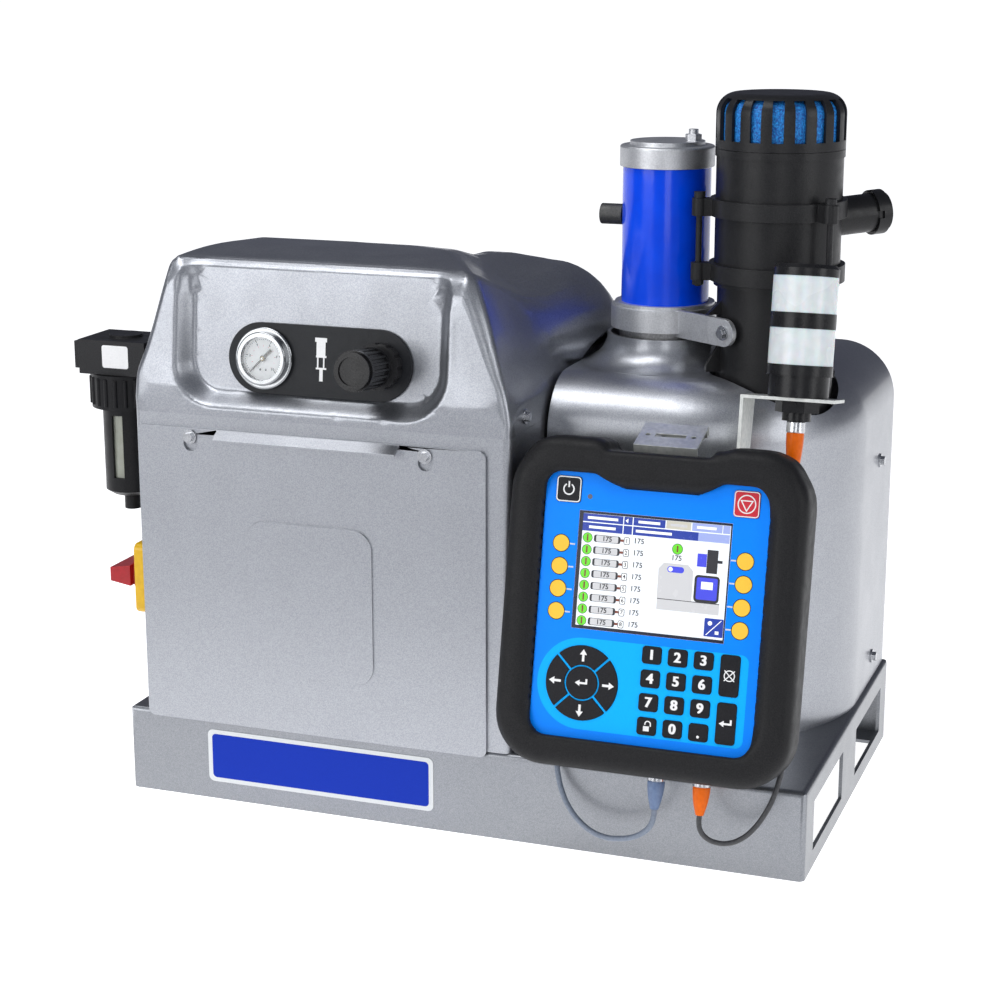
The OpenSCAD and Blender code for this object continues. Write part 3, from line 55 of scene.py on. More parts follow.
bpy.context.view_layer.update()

# %% Name the places that several steps share
display_middle = Vector((0.168, -0.1895, 0.209))
display_lean = math.radians(12.4)
plate_middle = Vector((-0.116, -0.151, 0.3755))
plate_lean = math.radians(6)
front_plane = -0.1715
print("the display leans", round(math.degrees(display_lean), 1), "degrees")

# %% [markdown]
# ## Camera
#
# The photograph was taken with a long lens from the front right, a little above the unit. The numbers come
# from fitting a camera to the corners of the pan, the panel and the display. A fitted camera is better than
# one placed by eye.

# %% Place the camera
look_down, look_left = math.radians(14.38), math.radians(19.92)
lens = bpy.data.cameras.new("front_right_camera")
lens.sensor_width = 36
lens.lens = 78.62
lens.clip_end = 200
camera = bpy.data.objects.new("front_right_camera", lens)
camera.location = (0.59869, -1.70538, 0.69931)
camera.rotation_euler = (math.radians(90) - look_down, 0, look_left)
bpy.context.scene.collection.objects.link(camera)
bpy.context.scene.camera = camera
bpy.context.scene.view_settings.view_transform = "Standard"
print("camera", [round(c, 3) for c in camera.location])

# %% [markdown]
# ## Floor and studio light
#
# A product like this is shot on a white sweep that is lit on its own, so the floor glows. The glow ends a
# little in front of the unit, where the studio is dark: black plastic would look grey if it mirrored a white
# floor. The sky is dim and bluish for the same reason, dimmest behind the unit, because the flat tops of the
# hood and the shroud mirror it. Four area lamps stand in for softboxes: a key from the front left, one from
# the right, a weak and narrow fill beside the camera, and one above.

# %% Lay the floor
def link(name, shape):
    piece = bpy.data.objects.new(name, shape)
    bpy.context.scene.collection.objects.link(piece)
    return piece


def value_range(tree, source, start, end, low, high):
    span = tree.nodes.new("ShaderNodeMapRange")
    for socket, value in zip(("From Min", "From Max", "To Min", "To Max"), (start, end, low, high)):
        span.inputs[socket].default_value = value
    tree.links.new(source, span.inputs["Value"])
    return span.outputs["Result"]


def from_front_to_back(tree, coordinates, start, end, low, high):
    where = tree.nodes.new("ShaderNodeTexCoord")
    split = tree.nodes.new("ShaderNodeSeparateXYZ")
    tree.links.new(where.outputs[coordinates], split.inputs[0])
    return value_range(tree, split.outputs["Y"], start, end, low, high)


bm = bmesh.new()
bmesh.ops.create_grid(bm, x_segments=1, y_segments=1, size=80)
floor_mesh = bpy.data.meshes.new("floor")
bm.to_mesh(floor_mesh)
bm.free()
floor = link("floor", floor_mesh)
floor_white = bpy.data.materials.new("floor_white")
floor_white.use_nodes = True
tree = floor_white.node_tree
sweep = tree.nodes["Principled BSDF"]
sweep.inputs["Base Color"].default_value = (0.80, 0.80, 0.81, 1)
sweep.inputs["Roughness"].default_value = 0.8
sweep.inputs["Emission Color"].default_value = (1, 1, 1, 1)
glow = from_front_to_back(tree, "Object", -0.75, -0.50, 0.0, 0.95)
tree.links.new(glow, sweep.inputs["Emission Strength"])
floor.data.materials.append(floor_white)
print("floor laid")

# %% Light the sky
sky = bpy.data.worlds.new("studio")
bpy.context.scene.world = sky
sky.use_nodes = True
tree = sky.node_tree
ramp = tree.nodes.new("ShaderNodeValToRGB")
tree.links.new(from_front_to_back(tree, "Generated", -0.35, 0.45, 0.0, 1.0), ramp.inputs["Fac"])
tree.links.new(ramp.outputs["Color"], tree.nodes["Background"].inputs["Color"])
ramp.color_ramp.elements[0].color = (0.17, 0.185, 0.22, 1)
ramp.color_ramp.elements[1].color = (0.085, 0.09, 0.12, 1)
tree.nodes["Background"].inputs["Strength"].default_value = 1.0


def softbox(name, at, aim, width, height, watts):
    lamp = bpy.data.lights.new(name, "AREA")
    lamp.shape = "RECTANGLE"
    lamp.size, lamp.size_y = width, height
    lamp.energy = watts
    stand = link(name, lamp)
    stand.location = at
    stand.rotation_euler = (Vector(aim) - Vector(at)).to_track_quat("-Z", "Y").to_euler()


softbox("key_box", (-1.3, -2.1, 0.95), (0, 0, 0.3), 1.5, 1.5, 25)
softbox("side_box", (2.0, -0.7, 0.9), (0.1, 0, 0.2), 0.8, 1.4, 12)
softbox("fill_box", (0.9, -2.3, 0.9), (0.1, 0, 0.3), 0.7, 1.6, 8)
softbox("top_box", (-0.5, -0.6, 2.1), (0, -0.1, 0.3), 1.6, 0.6, 20)

# %% [markdown]
# ## Cords
#
# Two thin cords leave the bottom of the display: one climbs behind it to the signal light, the other loops
# under it to a gland in the cabinet's side. Each is a single smooth curve through the same points as its
# solid, with a round section, because a curve keeps its diameter in every bend.

# %% Draw the two cords
light_diameter, data_diameter = 0.004, 0.0044
light_route = [(214.8, -202.6, 56.6), (214.8, -203.7, 51.6), (216.5, -204.5, 45), (221.5, -204, 39.5),
               (229, -202.5, 36.5), (238, -200, 36.5), (247, -197, 40.5), (255, -193, 48), (262, -188, 59),
               (267, -183, 71), (270, -178, 84), (271.5, -172, 98), (271.5, -165, 114), (271, -157, 134),
               (270, -149, 156), (268.5, -141, 180), (266.5, -133, 205), (264, -126, 230), (261, -119, 255),
               (259, -114, 280), (257.8, -110.8, 300), (257.5, -109.3, 310.5), (257.5, -108.4, 315.5)]
data_route = [(179.2, -202.6, 56.6), (179.2, -203.7, 51.6), (177, -204.5, 44), (171, -204, 37),
              (162, -203, 31.5), (151, -201, 28), (139, -198.5, 26.5), (127, -195.5, 28.5), (116, -192, 34),
              (107, -188.5, 42), (99.5, -184.5, 53), (94.5, -180.5, 66), (92, -177, 79), (91, -173, 92),
              (90.5, -168.5, 105), (90, -163, 117), (88.5, -158, 128), (86, -153.5, 138), (81.5, -150.8, 146),
              (75, -150, 150), (69, -150, 150)]


def draw_cord(name, route_mm, diameter):
    curve = bpy.data.curves.new(name, "CURVE")
    curve.dimensions = "3D"
    line = curve.splines.new("BEZIER")
    line.bezier_points.add(len(route_mm) - 1)
    for point, place in zip(line.bezier_points, route_mm):
        point.co = Vector(place) / 1000
        point.handle_left_type = point.handle_right_type = "AUTO"
    line.resolution_u = 6
    curve.bevel_depth = diameter / 2
    curve.bevel_resolution = 4
    curve.use_fill_caps = True
    return link(name, curve), line.calc_length()


light_lead, light_length = draw_cord("light_lead", light_route, light_diameter)
data_lead, data_length = draw_cord("data_lead", data_route, data_diameter)
print("cords", round(light_length, 3), "m and", round(data_length, 3), "m")

# %% [markdown]
# ## Finishes
#
# Most of the unit is sheet metal under a silver powder coat with fine metal flakes. The rest is black
# moulded plastic, rubber, bright zinc, cast aluminium and a glossy blue enamel. Every finish is made from
# nodes on object coordinates: one texture mixes two close colours, and a finer one lifts the surface a
# little. That way the grain has its real size in millimetres on every piece, large or small.

# %% Write the helpers for finishes
def new_finish(name):
    mat = bpy.data.materials.new(name)
    mat.use_nodes = True
    return mat, mat.node_tree, mat.node_tree.nodes["Principled BSDF"]


def noise_field(tree, grain, detail=2.0):
    at = tree.nodes.new("ShaderNodeTexCoord")
    field = tree.nodes.new("ShaderNodeTexNoise")
    field.inputs["Scale"].default_value = 1 / grain
    field.inputs["Detail"].default_value = detail
    tree.links.new(at.outputs["Object"], field.inputs["Vector"])
    return field.outputs["Fac"]


def flake_field(tree, grain):
    at = tree.nodes.new("ShaderNodeTexCoord")
    cells = tree.nodes.new("ShaderNodeTexVoronoi")
    cells.inputs["Scale"].default_value = 1 / grain
    tree.links.new(at.outputs["Object"], cells.inputs["Vector"])
    pick = tree.nodes.new("ShaderNodeSeparateColor")
    tree.links.new(cells.outputs["Color"], pick.inputs["Color"])
    return pick.outputs["Red"]


def blend_colours(tree, field, stops, socket):
    ramp = tree.nodes.new("ShaderNodeValToRGB")
    for mark, (position, colour) in zip(ramp.color_ramp.elements, stops):
        mark.position = position
        mark.color = (*colour, 1)
    tree.links.new(field, ramp.inputs["Fac"])
    tree.links.new(ramp.outputs["Color"], socket)


def spread(tree, field, low, high, socket):
    tree.links.new(value_range(tree, field, 0.3, 0.7, low, high), socket)


def lift(tree, field, height, strength, bsdf):
    bump = tree.nodes.new("ShaderNodeBump")
    bump.inputs["Distance"].default_value = height
    bump.inputs["Strength"].default_value = strength
    tree.links.new(field, bump.inputs["Height"])
    tree.links.new(bump.outputs["Normal"], bsdf.inputs["Normal"])


def grained(name, dark, light, grain, rough, metal=0.0, bump=0.0002, strength=0.3, **sockets):
    mat, tree, bsdf = new_finish(name)
    field = noise_field(tree, grain)
    blend_colours(tree, field, [(0.3, dark), (0.7, light)], bsdf.inputs["Base Color"])
    spread(tree, noise_field(tree, grain * 9), *rough, bsdf.inputs["Roughness"])
    lift(tree, field, bump, strength, bsdf)
    bsdf.inputs["Metallic"].default_value = metal
    for socket, value in sockets.items():
        bsdf.inputs[socket.replace("_", " ")].default_value = value
    return mat


def powder_coat(name, dark, light, flake):
    mat, tree, bsdf = new_finish(name)
    blend_colours(tree, flake_field(tree, flake), [(0.0, dark), (1.0, light)], bsdf.inputs["Base Color"])
    spread(tree, noise_field(tree, 0.03), 0.36, 0.42, bsdf.inputs["Roughness"])
    lift(tree, noise_field(tree, 0.0009, 1.0), 0.0001, 0.12, bsdf)
    bsdf.inputs["Metallic"].default_value = 0.9
    bsdf.inputs["Coat Weight"].default_value = 0.35
    bsdf.inputs["Coat Roughness"].default_value = 0.12
    return mat


print("helpers for finishes are ready")

# %% Mix the finishes of the slots
finishes = {
    "silver_paint": powder_coat("silver_paint", (0.29, 0.302, 0.33), (0.41, 0.422, 0.45), 0.0005),
    "hood_paint": powder_coat("hood_paint", (0.26, 0.272, 0.30), (0.37, 0.382, 0.41), 0.0006),
    # The pan's copy of the silver coat is darker: painted shade on the pan.
    "pan_paint_shaded": powder_coat("pan_paint_shaded", (0.20, 0.21, 0.23), (0.29, 0.30, 0.32), 0.0005),
}
plain_looks = {
    "zinc_bolts": ((0.40, 0.41, 0.43), (0.54, 0.55, 0.57), 0.0015, (0.16, 0.28), 1.0),
    "zinc_sheet": ((0.58, 0.60, 0.58), (0.74, 0.75, 0.72), 0.004, (0.40, 0.5), 0.8),
    "gauge_chrome": ((0.30, 0.31, 0.32), (0.38, 0.39, 0.40), 0.01, (0.16, 0.24), 1.0, 0.00002),
    "needle_black": ((0.01, 0.01, 0.01), (0.02, 0.02, 0.02), 0.001, (0.4, 0.5)),
    "switch_yellow": ((0.62, 0.36, 0.003), (0.70, 0.42, 0.006), 0.004, (0.28, 0.36)),
    "switch_red": ((0.30, 0.004, 0.008), (0.38, 0.006, 0.012), 0.004, (0.24, 0.32)),
    "cast_melter": ((0.34, 0.34, 0.35), (0.52, 0.52, 0.53), 0.0016, (0.45, 0.6), 1.0, 0.0004),
    "polished_rod": ((0.72, 0.72, 0.73), (0.8, 0.8, 0.81), 0.008, (0.06, 0.12), 1.0, 0.00002),
    "motor_silver": ((0.52, 0.53, 0.55), (0.66, 0.67, 0.69), 0.0012, (0.40, 0.5), 0.9),
    "muffler_bronze": ((0.07, 0.07, 0.07), (0.13, 0.13, 0.125), 0.0008, (0.5, 0.65), 0.9, 0.0004),
    "foam_blue": ((0.002, 0.05, 0.30), (0.01, 0.30, 0.80), 0.0016, (0.5, 0.7), 0.0, 0.0012, 0.8),
    "cord_grey": ((0.13, 0.16, 0.21), (0.18, 0.21, 0.27), 0.002, (0.42, 0.5)),
    "cord_black": ((0.028, 0.029, 0.032), (0.045, 0.046, 0.05), 0.002, (0.4, 0.5)),
    "plug_blue": ((0.09, 0.14, 0.26), (0.12, 0.18, 0.31), 0.003, (0.34, 0.42)),
    "gland_metal": ((0.52, 0.53, 0.55), (0.64, 0.65, 0.67), 0.002, (0.22, 0.34), 1.0),
    "key_red": ((0.52, 0.006, 0.02), (0.60, 0.01, 0.03), 0.001, (0.34, 0.42)),
}
for name, look in plain_looks.items():
    finishes[name] = grained(name, *look)
print(len(finishes), "finishes")

# %% [markdown]
# Black plastic would mirror the white floor too strongly, so its reflection is turned down. The rubber and
# the printed face are duller still, and the motor's blue enamel has a clear coat.

# %% Mix the black mouldings and the duller finishes
black_looks = {
    "control_plate": ((0.010, 0.011, 0.013), (0.017, 0.018, 0.021), 0.0006, (0.38, 0.46)),
    "black_hardware": ((0.012, 0.012, 0.013), (0.026, 0.026, 0.028), 0.0009, (0.34, 0.46)),
    "filter_black": ((0.005, 0.005, 0.006), (0.011, 0.011, 0.012), 0.001, (0.32, 0.42)),
    "funnel_black": ((0.010, 0.010, 0.011), (0.020, 0.020, 0.021), 0.0007, (0.30, 0.40)),
    "ring_black": ((0.011, 0.011, 0.012), (0.022, 0.022, 0.023), 0.0008, (0.34, 0.44)),
    "cage_black": ((0.010, 0.010, 0.011), (0.020, 0.020, 0.021), 0.0008, (0.30, 0.40)),
    "light_black": ((0.008, 0.008, 0.009), (0.016, 0.016, 0.017), 0.001, (0.24, 0.34)),
    "case_black": ((0.012, 0.012, 0.013), (0.022, 0.022, 0.024), 0.001, (0.5, 0.6)),
    "key_black": ((0.006, 0.006, 0.008), (0.012, 0.012, 0.015), 0.0009, (0.34, 0.44)),
}
for name, look in black_looks.items():
    finishes[name] = grained(name, *look, Specular_IOR_Level=0.22)
finishes["knob_black"] = grained("knob_black", (0.004, 0.004, 0.005), (0.008, 0.008, 0.009), 0.002,
                                 (0.16, 0.24), Specular_IOR_Level=0.25)
finishes["boot_rubber"] = grained("boot_rubber", (0.008, 0.008, 0.009), (0.017, 0.017, 0.018), 0.0009,
                                  (0.44, 0.54), 0.0, 0.0003, Specular_IOR_Level=0.16)
finishes["face_blue"] = grained("face_blue", (0.0, 0.22, 0.95), (0.0, 0.24, 1.0), 0.0008, (0.34, 0.42),
                                0.0, 0.0001, Specular_IOR_Level=0.15)
finishes["plug_orange"] = grained("plug_orange", (0.66, 0.11, 0.0), (0.74, 0.13, 0.0), 0.003, (0.34, 0.42),
                                  Specular_IOR_Level=0.2)
finishes["motor_blue"] = grained("motor_blue", (0.0, 0.06, 0.80), (0.0, 0.075, 0.90), 0.02, (0.14, 0.2),
                                 0.0, 0.0001, 0.06, Specular_IOR_Level=0.3, Coat_Weight=0.2,
                                 Coat_Roughness=0.05)
print(len(finishes), "finishes with the black ones")

# %% [markdown]
# Three finishes let light in. The gauge's lens is clear, and the filter's sight glass is half clear. The
# signal light's rings are frosted, and scatter the light inside them. The screen is lit from behind.

# %% Mix the clear, frosted and lit finishes
def clear_plastic(name, colour, rough):
    mat, tree, bsdf = new_finish(name)
    bsdf.inputs["Base Color"].default_value = (*colour, 1)
    bsdf.inputs["Transmission Weight"].default_value = 1.0
    bsdf.inputs["IOR"].default_value = 1.45
    spread(tree, noise_field(tree, 0.01), rough, rough + 0.04, bsdf.inputs["Roughness"])
    return mat


def lit_print(name, colour, glow):
    mat, tree, bsdf = new_finish(name)
    bsdf.inputs["Base Color"].default_value = (*colour, 1)
    bsdf.inputs["Emission Color"].default_value = (*colour, 1)
    bsdf.inputs["Emission Strength"].default_value = glow
    spread(tree, noise_field(tree, 0.006), 0.22, 0.28, bsdf.inputs["Roughness"])
    return mat


finishes["gauge_glass"] = clear_plastic("gauge_glass", (0.97, 0.985, 0.99), 0.0)
finishes["sight_glass"] = grained("sight_glass", (0.50, 0.52, 0.44), (0.60, 0.62, 0.54), 0.01, (0.06, 0.1),
                                  0.0, 0.0001, 0.1, Transmission_Weight=0.45)
finishes["light_lens"] = grained("light_lens", (0.66, 0.68, 0.69), (0.72, 0.73, 0.74), 0.006, (0.22, 0.3),
                                 0.0, 0.0001, 0.1, Subsurface_Weight=0.4, Subsurface_Scale=0.01)
finishes["screen"] = lit_print("screen", (0.80, 0.84, 0.88), 0.25)
for name, node in nodes.items():
    for part in node.material_slots:
        part.material = finishes[slot_of[name]]
print("finishes on", len(nodes), "nodes")

# %% [markdown]
# ## Rounded edges
#
# No real edge is perfectly sharp: sheet is deburred, castings and mouldings have small radii, and those
# edges catch the light. A copy of each rigid piece has its loose triangles joined, its flat areas merged
# to single faces, and its sharp edges bevelled. Normals are weighted by area, so that a flat face stays flat
# up to its bevel. The copy then stands for the node and moves with its body.

# %% Bevel the sharp edges of the rigid pieces
def joined_copy(node):
    bm = bmesh.new()
    bm.from_mesh(nodes[node].data)
    bmesh.ops.remove_doubles(bm, verts=bm.verts, dist=2e-6)
    return bm


def place(bm, name, finish, body, stands_for=(), slot=None, smooth=35):
    mesh = bpy.data.meshes.new(name)
    bm.to_mesh(mesh)
    bm.free()
    mesh.validate()
    mesh.shade_smooth()
    mesh.set_sharp_from_angle(angle=math.radians(smooth))
    piece = link(name, mesh)
    mesh.materials.append(finishes[finish])
    even = piece.modifiers.new("even_normals", "WEIGHTED_NORMAL")
    even.keep_sharp = True
    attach(piece, body)
    if stands_for:
        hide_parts(*stands_for)
    return piece


def softened(node, width, segments=2, sharp=40):
    bm = joined_copy(node)
    bmesh.ops.dissolve_limit(bm, angle_limit=math.radians(0.5), verts=bm.verts, edges=bm.edges)
    edges = [e for e in bm.edges if len(e.link_faces) == 2 and e.calc_face_angle() > math.radians(sharp)]
    bmesh.ops.bevel(bm, geom=edges, offset=width, offset_type="OFFSET", affect="EDGES", segments=segments,
                    profile=0.5, material=-1, clamp_overlap=True)
    return bm


# The pan takes the darker copy of the coat, which is painted shade.
finish_of = {"base_pan": "pan_paint_shaded"}
edge_radius = {
    "base_pan": 0.0006, "cabinet": 0.0005, "front_panel": 0.0005, "melter_shroud": 0.0006,
    "motor_base": 0.0008, "motor_cap": 0.0008, "light_base": 0.0006, "feed_funnel": 0.0006,
    "clamp_rings": 0.0006, "filter_cage": 0.0005, "filter_head": 0.001, "filter_bowl": 0.0006,
    "disconnect_handle": 0.0016, "disconnect_plate": 0.001, "air_control_plate": 0.0006,
    "regulator_knob": 0.0003, "regulator_body": 0.0004, "display_latch": 0.0003,
    "display_bracket": 0.0004, "exhaust_muffler": 0.0006,
}
for node, width in edge_radius.items():
    finish = finish_of.get(node, slot_of[node])
    piece = place(softened(node, width), node + "_soft", finish, home[node], [node], slot_of[node])
    print(node, len(piece.data.polygons), "faces")

# %% Bevel the bolts, bright zinc apart from the black ones of the clamp rings
def on_rings(part):
    spot = part.calc_center_median()
    return spot.x > 0.12 and 0.415 < spot.z < 0.53


bright = softened("fasteners", 0.0003)
black = bright.copy()
bmesh.ops.delete(bright, geom=[f for f in bright.faces if on_rings(f)], context="FACES")
bmesh.ops.delete(black, geom=[f for f in black.faces if not on_rings(f)], context="FACES")
print(len(bright.faces), "bright faces and", len(black.faces), "black ones")
place(bright, "fasteners_soft", "zinc_bolts", "frame", ["fasteners"])
place(black, "ring_bolts", "black_hardware", "frame", slot="zinc_bolts")

# %% [markdown]
# ## Soft mouldings
#
# The rubber boot has no sharp edge anywhere. A fine voxel grid rebuilds its plain solid as an even mesh, and
# a few rounds of smoothing then melt the corners. Smoothing also shrinks the boot, so it is puffed up again
# by about a millimetre, and its two upper shoulders are raised.

# %% Rebuild the boot as one soft skin
def rebuilt(node, voxel):
    source = link(node + "_source", nodes[node].data.copy())
    grid = source.modifiers.new("even", "REMESH")
    grid.mode = "VOXEL"
    grid.voxel_size = voxel
    even = bpy.data.meshes.new_from_object(source.evaluated_get(bpy.context.evaluated_depsgraph_get()))
    bpy.data.objects.remove(source)
    bm = bmesh.new()
    bm.from_mesh(even)
    bpy.data.meshes.remove(even)
    return bm


def melt(bm, verts, rounds):
    for _ in range(rounds):
        bmesh.ops.smooth_vert(bm, verts=verts, factor=0.5, use_axis_x=True, use_axis_y=True, use_axis_z=True)


def rise(value, low, high):
    part = min(max((value - low) / (high - low), 0), 1)
    return part * part * (3 - 2 * part)


boot_grid, boot_puff, shoulder_lift = 0.0019, 0.0013, 0.0032
notch_middle = 0.004
bm = rebuilt("display_boot", boot_grid)
melt(bm, bm.verts, 5)
bm.normal_update()
up_face = Vector((0, math.sin(display_lean), math.cos(display_lean)))
for v in bm.verts:
    from_middle = v.co - display_middle
    shoulder = rise(from_middle.dot(up_face), 0.106, 0.118)
    shoulder *= rise(abs(from_middle.x - notch_middle), 0.042, 0.056)
    v.co += v.normal * boot_puff + up_face * shoulder_lift * shoulder
boot = place(bm, "display_boot_skin", "boot_rubber", "frame", ["display_boot"], smooth=80)
print("boot", len(boot.data.polygons), "faces")

# %% [markdown]
# ### The hood
#
# The hood is a thin shell with an inner and an outer side, so a voxel grid would thicken it. Its own mesh is
# cut finer instead, and its points are moved by formulas. First the upper front is filled out: the two front
# corners come forward, the left side swells, and the crown rises a little.

# %% Fill out the hood's upper front
corner_fill, right_fill, crown_fill = 0.010, 0.010, 0.006
left_fill, left_trim = 0.014, 0.011
upper_part = (0.355, 0.44)
front_part = (-0.13, -0.05)


def cut_finer(bm, inside, length, rounds=5):
    for _ in range(rounds):
        long_edges = [e for e in bm.edges if e.calc_length() > length and all(inside(v.co) for v in e.verts)]
        bmesh.ops.subdivide_edges(bm, edges=long_edges, cuts=1)
        bmesh.ops.triangulate(bm, faces=[f for f in bm.faces if len(f.verts) > 3])


def fuller(spot):
    across = spot.x - plate_middle.x
    front = 1 - rise(spot.y, *front_part)
    upper = rise(spot.z, *upper_part)
    forward = corner_fill * upper * rise(abs(across), 0.098, 0.114) * front
    left = left_fill * rise(-across, 0.06, 0.105) - left_trim * rise(-across, 0.105, 0.15)
    left *= rise(spot.z, 0.335, 0.36) * (0.5 + 0.5 * front - 0.5 * rise(spot.y, 0.0, 0.08))
    right = right_fill * upper * rise(across, 0.085, 0.12) * front
    crown = crown_fill * rise(spot.z, 0.385, 0.445) * rise(spot.y, -0.15, -0.085)
    crown *= 1 - rise(spot.x, -0.05, 0.01)
    return Vector((right - left, -forward, crown))


bm = joined_copy("hood")
cut_finer(bm, lambda spot: True, 0.012)
for v in bm.verts:
    v.co += fuller(v.co)
print("hood filled out,", len(bm.faces), "faces")

# %% [markdown]
# Next the recess gets its rounded rim. Across the recess's outline the depth swings softly from the leaning
# floor to the front flank, and how far it has swung depends on a point's distance from the outline. Points of
# the outer side take this depth, and points of the inner side only make room for it. A ray towards the front
# tells the two apart: it leaves an outer point freely and strikes the shell from an inner one.

# %% Round the rim of the recess
recess_middle, recess_half, recess_low, recess_corner = -0.1205, 0.1115, 0.3427, 0.030
flank_start, flank_slope = 0.352, 0.29
shell = 0.003


def off_outline(spot):
    side = abs(spot.x - recess_middle) - (recess_half - recess_corner)
    low = recess_low + recess_corner - spot.z
    return math.hypot(max(side, 0), max(low, 0)) + min(max(side, low), 0) - recess_corner


def near_outline(spot):
    return spot.y < -0.12 and 0.333 < spot.z < 0.452 and -0.010 < off_outline(spot) < 0.015


def front_at(spot):
    flank = front_plane + flank_slope * max(spot.z - flank_start, 0) - corner_fill * rise(spot.z, *upper_part)
    bottom = plate_middle.y + (spot.z - plate_middle.z) * math.tan(plate_lean)
    return bottom + (flank - bottom) * rise(off_outline(spot), -0.006, 0.008)


def press(zone, outside):
    for v, seen in zip(zone, outside):
        aim = front_at(v.co) if seen else max(v.co.y, front_at(v.co) + shell)
        hold = 1 - rise(off_outline(v.co), 0.009, 0.015)
        v.co.y += (aim - v.co.y) * hold * (1 - rise(v.co.z, 0.440, 0.449))


cut_finer(bm, near_outline, 0.0032, 3)
bm.normal_update()
skin = BVHTree.FromBMesh(bm)
facing = Vector((0, -1, 0))
zone = [v for v in bm.verts if near_outline(v.co)]
outside = [skin.ray_cast(v.co + v.normal * 0.0004, facing)[0] is None for v in zone]
press(zone, outside)
melt(bm, zone, 10)
press(zone, outside)
melt(bm, [v for v in zone if v.co.z > 0.425], 20)
print(sum(outside), "of", len(zone), "points round the rim face outwards")

# %% [markdown]
# Last, the crease between the hood and its rear lobe is melted away, apart from the seam round the motor, and
# so is the bend above the skirt.

# %% Blend the lobe and the skirt
motor_seam, seam_radius = Vector((0.118, 0.02)), 0.062


def on_lobe(spot):
    return (spot.x > -0.12 and spot.y > -0.10 and spot.z > 0.37 and
            (spot.xy - motor_seam).length > seam_radius)


def above_skirt(spot):
    return 0.345 < spot.z < 0.37 and spot.y < -0.06 and off_outline(spot) > 0.015


melt(bm, [v for v in bm.verts if on_lobe(v.co)], 14)
melt(bm, [v for v in bm.verts if above_skirt(v.co)], 8)
hood = place(bm, "hood_skin", "hood_paint", "frame", ["hood"], smooth=32)
print("hood", len(hood.data.polygons), "faces")

# %% [markdown]
# ## Print
#
# Print lies on a surface as a film a tenth of a millimetre thick. Three sheets carry it: the display's face,
# the control plate and the front of the pan. Each sheet has its own flat coordinates in millimetres, and a
# matrix that lays them on the unit. The shapes are outlines, bands between two outlines, strokes and digits.

# %% Write the helpers for print
def sheet_at(middle, lean):
    turn = Matrix.Rotation(math.radians(90) - lean, 4, "X")
    return Matrix.Translation(middle) @ turn @ Matrix.Scale(0.001, 4)


face = sheet_at(display_middle, display_lean)
control = sheet_at(plate_middle, plate_lean)
pan_front = sheet_at((0, front_plane, 0), 0)


def circle(radius, at=(0, 0), steps=40, start=0, end=360):
    count = steps if end - start == 360 else steps + 1
    turns = [math.radians(start + (end - start) * k / steps) for k in range(count)]
    return [(at[0] + radius * math.cos(t), at[1] + radius * math.sin(t)) for t in turns]


def rounded_box(width, height, radius, at=(0, 0)):
    points = []
    for quarter, (right, up) in enumerate(((1, 1), (-1, 1), (-1, -1), (1, -1))):
        middle = (at[0] + right * (width / 2 - radius), at[1] + up * (height / 2 - radius))
        points += circle(radius, middle, 6, 90 * quarter, 90 * quarter + 90)
    return points


def loop_at(bm, points, sheet, height):
    return [bm.verts.new(sheet @ Vector((x, y, height))) for x, y in points]


def stamp(bm, points, sheet, height, thick=0.1):
    low = loop_at(bm, points, sheet, height - thick)
    high = loop_at(bm, points, sheet, height)
    bm.faces.new(high)
    for k in range(len(points)):
        bm.faces.new((low[k - 1], low[k], high[k], high[k - 1]))


def band(bm, outer, inner, sheet, height, thick=0.1):
    low = height - thick
    steps = ((outer, low), (outer, height), (inner, height), (inner, low))
    rings = [loop_at(bm, points, sheet, level) for points, level in steps]
    for a, b in zip(rings, rings[1:]):
        for k in range(len(outer)):
            bm.faces.new((a[k - 1], a[k], b[k], b[k - 1]))


def stroke(bm, start, end, width, sheet, height):
    a, b = Vector(start), Vector(end)
    side = (b - a).normalized().orthogonal() * width / 2
    stamp(bm, [a - side, b - side, b + side, a + side], sheet, height)


def box(bm, left, low, right, high, sheet, height):
    stamp(bm, [(left, low), (right, low), (right, high), (left, high)], sheet, height)


def digits(bm, text, size, at, sheet, height, heavy):
    curve = bpy.data.curves.new("digits", "FONT")
    curve.body = text
    curve.size = size
    curve.extrude = 0.05
    curve.offset = heavy
    curve.align_x = "CENTER"
    curve.align_y = "CENTER"
    holder = link("digits", curve)
    mesh = bpy.data.meshes.new_from_object(holder)
    mesh.transform(sheet @ Matrix.Translation((*at, height)))
    bm.from_mesh(mesh)
    bpy.data.objects.remove(holder)
    bpy.data.meshes.remove(mesh)


inks = {
    "ink_white": (0.82, 0.82, 0.82), "ink_yellow": (0.93, 0.56, 0.06), "ink_black": (0.010, 0.010, 0.012),
    "ink_red": (0.55, 0.02, 0.02), "ink_grey": (0.13, 0.15, 0.20), "field_blue": (0.0, 0.42, 1.0),
    "badge_blue": (0.0, 0.025, 0.36), "ink_silver": (0.62, 0.64, 0.65), "dial_white": (0.95, 0.96, 0.97),
    "hub_gold": (0.45, 0.36, 0.20),
}
for name, colour in inks.items():
    shade = [0.94 * c for c in colour]
    finishes[name] = grained(name, shade, colour, 0.0012, (0.36, 0.46), 0.0, 0.00005, 0.1,
                             Specular_IOR_Level=0.15)
print(len(inks), "inks")

# %% [markdown]
# ### The face of the display
#
# The keys stand in a field of lighter blue. Its film is cut from the face itself: the front faces of the
# solid are trimmed to a rounded outline, so that every key keeps its own opening in the film.

# %% Trim the light field from the face
field_outline = circle(6, (74, -30.5), 6, 0, 90)
field_outline += circle(35, (-48.5, -59.5), 30, 90, 270)
field_outline += circle(6, (74, -88.5), 6, 270, 360)
outward = (face.to_3x3() @ Vector((0, 0, 1))).normalized()


def on_face(part):
    return (part.normal.dot(outward) >= 0.99 and
            (part.calc_center_median() - face.translation).dot(outward) >= -0.0002)


